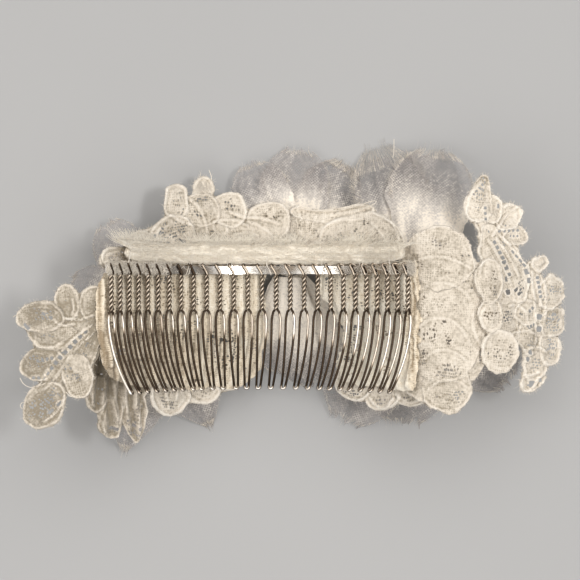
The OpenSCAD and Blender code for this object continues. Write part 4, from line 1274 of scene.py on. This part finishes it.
def make_roll():
    rings, sides = 420, 30
    s = np.linspace(*ROLL_S, rings)[:, None]
    a = np.arange(sides)[None, :] * 2 * math.pi / sides
    from_middle = np.abs(2 * (s - ROLL_S[0]) / (ROLL_S[1] - ROLL_S[0]) - 1)
    end = np.sqrt(np.clip(1 - from_middle ** 16, 0.02, 1))
    girth = s * 0 + a * 3.0
    lump = 1 + 0.09 * noise(s, girth, 5.0, 2) + 0.07 * noise(s, girth, 1.4, 3)
    lump = lump + 0.05 * noise(s * 0.5, girth * 2, 0.7, 4)
    groove = 0.05 * np.sin(7 * a + 0.25 * s + 2 * noise(s, girth, 9, 5))
    wavy = 0.16 * noise(s, s * 0, 7.0, 12) + 0.08 * noise(s, s * 0, 2.6, 13)
    half_w = ROLL_W / 2 * end * (lump + groove + wavy * ramp(np.sin(a), 0, 0.8))
    half_t = ROLL_T / 2 * end * (lump + groove)
    verts = comb_local(s, 0, ROLL_Y + half_w * np.sin(a), -ROLL_DROP + half_t * np.cos(a))
    tone = 0.92 + 0.16 * noise(s, girth, 5, 6) + 0.22 * noise(s, girth, 0.8, 7)
    tone = tone - 0.35 * ramp(noise(s * 0.3, girth, 0.7, 9), 0.3, 0.8)
    tone = tone - 0.16 * ramp(np.sin(a) + 0.25 * noise(s, girth, 3.0, 11), 0.45, 0.95)
    uv = np.stack(np.broadcast_arrays(s, girth), -1).reshape(-1, 2)
    piece = make_piece("binding_roll_cloth", verts.reshape(-1, 3), closed_tube_faces(rings, sides),
                       roll_lit_finish, tone=tone.ravel(), uv=uv)
    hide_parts("binding_roll")


ROLL_FIBRE_R, CROSSING_R, BAR_FIBRE_R = 0.055, 0.08, 0.07


def make_roll_fuzz():
    """Fine fibres: some lie along the roll, and others cross from its upper side to the lace."""
    count = 1500
    one = (count, 1)
    draw = np.random.default_rng(31)
    s = draw.uniform(ROLL_S[0] + 1, ROLL_S[1] - 3, one)
    t = np.linspace(0, 1, 7)[None, :]
    s = s + draw.uniform(2.0, 7.0, one) * t
    a = draw.uniform(-1.45, 1.45, one) + draw.normal(0, 0.35, one) * t
    a = a + 0.16 * np.sin(3.1 * t + draw.uniform(0, 6, one))
    off = 1.04 + draw.uniform(0.0, 0.16, one) * np.sin(math.pi * t)
    y = ROLL_Y + ROLL_W / 2 * off * np.sin(a)
    up = -ROLL_DROP + ROLL_T / 2 * off * np.cos(a)
    spread = (draw.random(one) > 0.55) * ramp(np.sin(a), 0.2, 0.9)
    y = y + spread * t * draw.uniform(0.5, 4.2, one)
    tone = np.clip(draw.uniform(0.55, 1.15, count), 0, 1.1)
    make_hair("roll_fibres", comb_local(s, 0, y, up), ROLL_FIBRE_R, roll_lit_finish, tone)

    count = 2600
    one = (count, 1)
    s0 = draw.uniform(*ROLL_S, one)
    s = s0 + draw.normal(0, 2.4, one) * t
    reach = 1.6 + 4.0 * ramp(noise(s0, s0 * 0, 6.0, 15), -0.5, 0.7)
    y = ROLL_Y + draw.uniform(0.2, 2.0, one) + draw.uniform(0.5, 1.0, one) * reach * t
    on_roll = np.sqrt(np.clip(1 - (2 * (y - ROLL_Y) / ROLL_W) ** 2, 0, 1)) * ROLL_T / 2 - ROLL_DROP + 0.12
    on_lace = 0.15 - LACE_LIFT - LAYER_PITCH - 0.45 * (y - ROLL_Y - ROLL_W / 2)
    past = y >= ROLL_Y + ROLL_W / 2
    up = np.where(past, on_lace, np.maximum(on_roll, on_lace))
    up[:, 1:-1] = (up[:, :-2] + up[:, 1:-1] + up[:, 2:]) / 3
    # Pale tones, painted light against the shade just above the roll.
    tone = draw.uniform(0.7, 1.2, count)
    make_hair("crossing_fibres", comb_local(s, 0, y, up), CROSSING_R, roll_lit_finish, tone)


def make_bar_fuzz():
    """Short lace fibres caught over the bar and between the wires, close at the left end."""
    count = 1500
    one = (count, 1)
    draw = np.random.default_rng(37)
    s0 = -52.0 + 26.0 * draw.random(one) ** 1.6
    place = draw.random(one)
    s0 = np.where(place > 0.93, draw.uniform(-26, 50, one), s0)
    s0 = np.where(place < 0.12, draw.uniform(50.6, 53.4, one), s0)
    a = np.where(draw.random(one) > 0.35, draw.normal(0, 0.5, one), draw.uniform(0, 6.3, one))
    length = draw.uniform(0.8, 2.6, one)
    t = np.linspace(-0.5, 0.5, 5)[None, :]
    bend = draw.normal(0, 0.9, one) * (t ** 2 - 0.1)
    y0 = BAR_Y + draw.uniform(-1.2, 1.9, one)
    s = s0 + length * (t * np.cos(a) - bend * np.sin(a))
    y = y0 + length * (t * np.sin(a) + bend * np.cos(a))
    up = 0.36 + draw.uniform(0, 0.34, one) + 0.15 * np.cos(math.pi * t)
    tone = draw.uniform(0.3, 1.0, count)
    make_hair("bar_fibres", comb_local(s, 0, y, up), BAR_FIBRE_R, lace_finish, tone)


# The gaps between teeth, counted from the left, where sewing thread crosses the bar
STITCHED_GAPS = (1, 4, 7, 10, 13, 17, 20, 23)
SEWING_R, LOOSE_R, TUFT_R = 0.09, 0.12, 0.07
THREAD_SIDES = 5


def make_stitches():
    """Sewing thread that ties the bar to the roll between the teeth."""
    parts = []
    draw = np.random.default_rng(41)
    low, high = BAR_Y - BAR_W / 2 - 0.25, BAR_Y + BAR_W / 2 + 0.3
    for i in STITCHED_GAPS:
        s = (i - (TOOTH_COUNT - 2) / 2) * TOOTH_PITCH
        for k in range(2):
            x0, x1 = draw.uniform(-1.1, 0.9), draw.uniform(-0.9, 1.3)
            line = smooth_line([
                (x0, low, -0.9), (x0, low - 0.05, -0.2), (x0, low + 0.1, 0.42),
                ((x0 + x1) / 2, BAR_Y + 0.3, 0.5), (x1, high, 0.55), (x1, ROLL_Y - 1.6, 1.0),
                (x1 + 0.3, ROLL_Y - 0.3, 1.2), (x1 + 0.4, ROLL_Y + 0.6, 0.7)], 2)
            verts, faces, _ = wire_tube(comb_local(s, *line.T), SEWING_R, THREAD_SIDES)
            parts.append((verts, [faces]))
    verts, faces = merge(parts)
    make_piece("sewing_thread", verts, faces, lace_finish, tone=0.85, uv=verts[:, :2])


# Loose threads, as points on the photograph, with their depth under the comb's curve
THREADS = [
    (3.0, [(20, 378), (23, 384), (30, 388), (37, 386), (42, 382)]),
    (3.0, [(25, 402), (21, 403), (20, 407), (24, 410)]),
    (2.8, [(20, 316), (16, 315), (13, 317)]),
    (3.0, [(205, 190), (211, 185), (212, 178), (209, 170)]),
    (2.8, [(198, 190), (196, 183), (199, 178)]),
    (10.2, [(393, 158), (394, 149), (394, 139)]),
    (3.0, [(66, 392), (70, 397), (74, 396)]),
    (2.6, [(291, 202), (300, 208), (312, 211), (335, 211), (350, 208), (360, 205), (375, 200), (377, 203),
           (362, 209)]),
]
# The frayed tuft on the top left lace: its foot's left and right end, and its tip, on the photograph
TUFT_LEFT, TUFT_RIGHT, TUFT_TIP = (192, 194), (211, 193), (203, 176)
TUFT_DEPTH, TUFT_COUNT = 2.9, 260


def from_photo(px, py, depth):
    """The point at a depth under the lace's curve that shows at a pixel of the photograph."""
    s = np.linspace(WING_LEFT_S - 6, WING_RIGHT_S + 6, 500)
    z = 20.0
    for _ in range(14):
        scale = (CAMERA_Z - z) / PHOTO_FOCAL
        x, y = CAMERA_X + (px - PHOTO_SIZE / 2) * scale, CAMERA_Y - (py - PHOTO_SIZE / 2) * scale
        line = lace_surface(s, y, depth)
        z = (z + np.interp(x, line[:, 0], line[:, 2])) / 2
    return x, y, z


def make_threads():
    """Loose thread ends and loops, and the frayed tuft."""
    parts = []
    for depth, line in THREADS:
        path = smooth_line([from_photo(px, py, depth) for px, py in line], 2)
        verts, faces, _ = wire_tube(path, LOOSE_R, THREAD_SIDES)
        parts.append((verts, [faces]))
    draw = np.random.default_rng(53)
    across = draw.random((TUFT_COUNT, 1))
    foot = np.array(TUFT_LEFT) * (1 - across) + np.array(TUFT_RIGHT) * across
    tip = np.array(TUFT_TIP) + (foot - TUFT_TIP) * 0.35 + draw.normal(0, 2.6, (TUFT_COUNT, 2)) * (1.2, 1.6)
    for a, b in zip(foot, tip):
        start, end = (np.array(from_photo(*place, TUFT_DEPTH)) for place in (a, b))
        middle = (start + end) / 2 + draw.normal(0, 0.3, 3)
        parts.append(hair_tubes(smooth_line([start, middle, end], 2)[None], TUFT_R))
    verts, faces = merge(parts)
    make_piece("loose_threads", verts, faces, lace_finish, tone=0.8, uv=verts[:, :2])


# Flowers: centre, and the knot's lower and upper end
FLOWERS = {
    "left": (-39.3, -4.0, 15.4, 23.4),
    "middle": (-2.2, 8.6, 1.6, 9.2),
    "right": (35.1, 3.6, 24.6, 33.2),
}
# Petals: direction in degrees, length, width, height at the knot and at the tip, pointed
PETALS = {
    "left": [(161, 25.5, 14, 20.2, 10.6, 0), (120, 29.0, 15, 17.0, 7.2, 0), (38, 24.0, 15, 18.6, 8.0, 0),
             (-66, 36.0, 18, 17.0, 0, 1), (-104, 41.0, 17, 18.6, 1.8, 1)],
    "middle": [(109, 31.5, 17, 5.4, 3.4, 0), (84, 34.0, 20, 3.6, 1.7, 0), (60, 34.5, 17, 1.8, 0, 0),
               (-92, 30.0, 19, 5.4, 2.4, 0), (-74, 34.5, 22, 3.6, 0, 0)],
    "right": [(106, 41.0, 20, 27.4, 0.6, 0), (82, 39.0, 24, 29.2, 4.0, 0), (-47, 38.5, 20, 25.6, 0, 0),
              (-95, 40.0, 24, 27.4, 0, 0), (-118, 44.0, 22, 29.2, 1.9, 0)],
}
# The share of the length of some petals that is frayed away to loose threads, by side and number from 0
LONG_FRINGE = {("right", 0): 0.09, ("right", 1): 0.02, ("middle", 2): 0.02}
# The petals that show behind the teeth are more opaque at their roots and painted lighter there, against the
# shade under the comb
OPAQUE_LIT_PETALS = {("middle", 3): 0.42, ("middle", 4): 0.42}
FRINGE_R = 0.04
FLOOR_CLEAR = 0.1


def petal_half(row, u):
    """Half the width of a petal at the fraction u of its length."""
    grow = PETAL_ROOT + (1 - PETAL_ROOT) * np.sin(math.pi / 2 * np.minimum(1, u / PETAL_WIDEST))
    past = np.clip((u - PETAL_WIDEST) / (1 - PETAL_WIDEST), 0, 1)
    tip, power = (TIP_POINTED, 1.3) if row[5] else (TIP_ROUND, 2.6)
    return row[2] / 2 * grow * (tip + (1 - tip) * (1 - past ** power))


def petal_points(side, row, u, v, lift):
    """Points of a petal at fractions of its length and half width."""
    direction, length, _, at_knot, at_tip, _ = row
    r0 = KNOT_R + ROOT_CLEAR
    along = r0 + u * (length - r0)
    across = v * petal_half(row, np.clip(u, 0, 1))
    r = np.hypot(along, across)
    fall = np.clip((r - r0) / (length - r0), 0, 1.04) ** PETAL_FALL
    a = math.radians(direction)
    return np.stack([FLOWERS[side][0] + along * math.cos(a) - across * math.sin(a),
                     FLOWERS[side][1] + along * math.sin(a) + across * math.cos(a),
                     at_knot + (at_tip - at_knot) * fall + PETAL_T / 2 + lift], -1)


def make_petal(side, k, row, seed):
    """A petal: an open sheet with pleats, creases, a worn edge and close gathers at its root."""
    rows, cols = 64, 46
    u = np.linspace(0, 1, rows)[:, None]
    v = np.linspace(-1, 1, cols)[None, :]
    tip = 1 + 0.045 * noise(v * 10, v * 0 + 5, 2.6, seed) + 0.03 * noise(v * 10, v * 0 + 5, 0.6, seed)
    tip = tip - LONG_FRINGE.get((side, k), 0)
    edge = 1 + 0.10 * noise(u * 20, np.sign(v) * 9 + u * 0, 3.2, seed)
    edge = edge + 0.025 * noise(u * 20, np.sign(v) * 9 + u * 0, 0.8, seed)
    vv = v * (1 - ramp(np.abs(v), 0.5, 1.0) * (1 - edge))
    uu = u * (1 + (tip - 1) * ramp(u, 0.6, 1.0))
    pleat = np.sin(4.2 * math.pi * v + 4 * noise(u * 3, v * 3, 1.2, seed))
    pleat = 0.17 * pleat * ramp(u, 0, 0.3) * (1 - 0.4 * u)
    crease = 0.30 * noise(u * 14, v * 9, 2.2, seed + 3) + 0.10 * noise(u * 30, v * 20, 1.5, seed + 4)
    curl = 0.5 * ramp(u, 0.75, 1.0) * np.sin(3 * math.pi * v + seed)
    gather = np.abs(np.sin(5.5 * math.pi * v + 3 * noise(u * 2, v * 4, 1.4, seed + 8))) ** 5
    gather = gather * ramp(-u, -0.55, -0.15)
    lift = pleat + crease + 0.5 * curl - 0.12 * gather
    lift = np.maximum(lift, FLOOR_CLEAR - PETAL_T / 2 - row[4] * ramp(u, 0, 1) / 9)
    verts = petal_points(side, row, uu, vv, lift)
    verts[..., 2] = np.maximum(verts[..., 2], FLOOR_CLEAR + 0.02)
    tone = 0.22 + 0.70 * ramp(-u, -0.88, -0.44) - 0.10 * ramp(np.abs(v), 0.8, 1.0)
    # Painted light and shade: lighter and more opaque on the pleats' crests, darker and sheerer in their
    # troughs and in the gathers.
    tone = tone + 0.22 * noise(u * 10, v * 6, 2.0, seed + 5) + 0.5 * pleat - 0.22 * gather
    # More opaque, and painted light against the comb's shade, at the roots of the petals behind the teeth.
    tone = tone + OPAQUE_LIT_PETALS.get((side, k), 0) * ramp(-u, -1.0, -0.75)
    half = petal_half(row, np.clip(uu, 0, 1))
    uv = np.stack(np.broadcast_arrays(uu * row[1], vv * half), -1).reshape(-1, 2)
    piece = make_piece(f"organza_{side}_{k + 1}", verts.reshape(-1, 3), [grid_faces(rows, cols)],
                       organza_finish, tone=np.clip(tone, 0, 1).ravel(), uv=uv)
    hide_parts(f"petal_{side}_{k + 1}")
    area = float(np.mean(2 * petal_half(row, u[:, 0]))) * (row[1] - KNOT_R)
    fringe = make_fringe(side, k, row, seed)


def make_fringe(side, k, row, seed):
    """Frayed threads along a petal's tip. Some leave its end, and the others its two sides."""
    draw = np.random.default_rng(200 + seed)
    long_part = LONG_FRINGE.get((side, k), 0)
    one = (420 if long_part else 190, 1)
    length = draw.uniform(0.01, 0.045, one) * (1 + 1.2 * (draw.random(one) > 0.85)) + long_part
    t = np.linspace(-0.4, 1, 5)[None, :]
    from_side = draw.choice((-1, 0, 1), one)
    at_end = from_side == 0
    u = np.where(at_end, 0.975 - long_part, draw.uniform(0.6, 0.98, one) - long_part)
    u = u + length * t * (0.4 + 0.6 * at_end)
    v = np.where(at_end, draw.uniform(-1, 1, one), 0.97 * from_side)
    v = v + (1.6 * from_side * length + draw.normal(0, 0.05, one)) * t
    lift = draw.uniform(-0.3, 0.8, one) * np.clip(t, 0, 1)
    paths = petal_points(side, row, u, v, lift)
    paths[..., 2] = np.maximum(paths[..., 2], FLOOR_CLEAR)
    return make_hair(f"fringe_{side}_{k + 1}", paths, FRINGE_R, organza_finish, 0.9)


def make_knot(side):
    """The gathered middle of a flower: a stitched button of folded organza."""
    x, y, low, high = FLOWERS[side]
    rows, cols = 26, 56
    t = np.linspace(0, 1, rows)[:, None]
    a = np.arange(cols)[None, :] * 2 * math.pi / cols
    half = (high - low) / 2 - 0.05
    r = KNOT_R * np.sin(math.pi * np.clip(t, 0.03, 0.97)) ** 0.6
    fold = 1 + 0.09 * np.sin(9 * a + 5 * t) * np.sin(math.pi * t)
    verts = np.stack(np.broadcast_arrays(x + r * fold * np.cos(a), y + r * fold * np.sin(a),
                                         low + 0.05 + 2 * half * t + 0 * a), -1).reshape(-1, 3)
    piece = make_piece(f"knot_{side}_cloth", verts, closed_tube_faces(rows, cols), lace_finish,
                       tone=0.75, uv=verts[:, :2])
    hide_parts(f"knot_{side}")


def make_flowers():
    for n, (side, rows) in enumerate(PETALS.items()):
        make_knot(side)
        for k, row in enumerate(rows):
            make_petal(side, k, row, 40 + 7 * n + k)


# Floor and light, in metres

FLOOR_SIZE = 6


def make_floor():
    bpy.ops.mesh.primitive_plane_add(size=FLOOR_SIZE)
    floor = bpy.context.object
    floor.name = "floor"
    floor.data.materials.append(floor_material())


# Soft rectangular lights: name, place, size, power in watts, colour
LIGHTS = [
    ("main", (0.355, 0.05, 0.86), (0.16, 0.10), 2.6, (1.0, 0.98, 0.95)),
    ("left_strip", (-0.68, 0.06, 0.64), (0.14, 0.28), 0.5, (1.0, 1.0, 1.0)),
    ("soft", (0.06, 0.46, 0.84), (1.0, 0.8), 5.0, (1.0, 0.97, 0.93)),
    ("low", (-0.16, -0.48, 0.74), (0.8, 0.5), 1.9, (1.0, 0.97, 0.93)),
    ("left", (-0.55, -0.20, 0.62), (0.6, 0.6), 1.0, (1.0, 0.95, 0.88)),
]
SKY_COLOUR, SKY_POWER = (1.0, 0.97, 0.93, 1), 0.28


def make_lights():
    """Lights that all face the comb, and a faint even sky."""
    scene = bpy.context.scene
    for name, place, size, power, colour in LIGHTS:
        data = bpy.data.lights.new(name, "AREA")
        data.shape = "RECTANGLE"
        data.size, data.size_y = size
        data.energy = power
        data.color = colour
        light = bpy.data.objects.new(name, data)
        light.location = place
        x, y, z = place
        light.rotation_euler = (math.atan2(math.hypot(x, y), z), 0, math.atan2(y, x) + math.pi / 2)
        scene.collection.objects.link(light)
    scene.view_settings.view_transform = "Standard"
    scene.world = bpy.data.worlds.new("world")
    scene.world.use_nodes = True
    background = scene.world.node_tree.nodes["Background"]
    background.inputs["Color"].default_value = SKY_COLOUR
    background.inputs["Strength"].default_value = SKY_POWER


make_bar()
make_teeth()
make_roll()
make_roll_fuzz()
make_bar_fuzz()
make_stitches()
make_all_lace()
make_threads()
make_flowers()
make_floor()
make_lights()
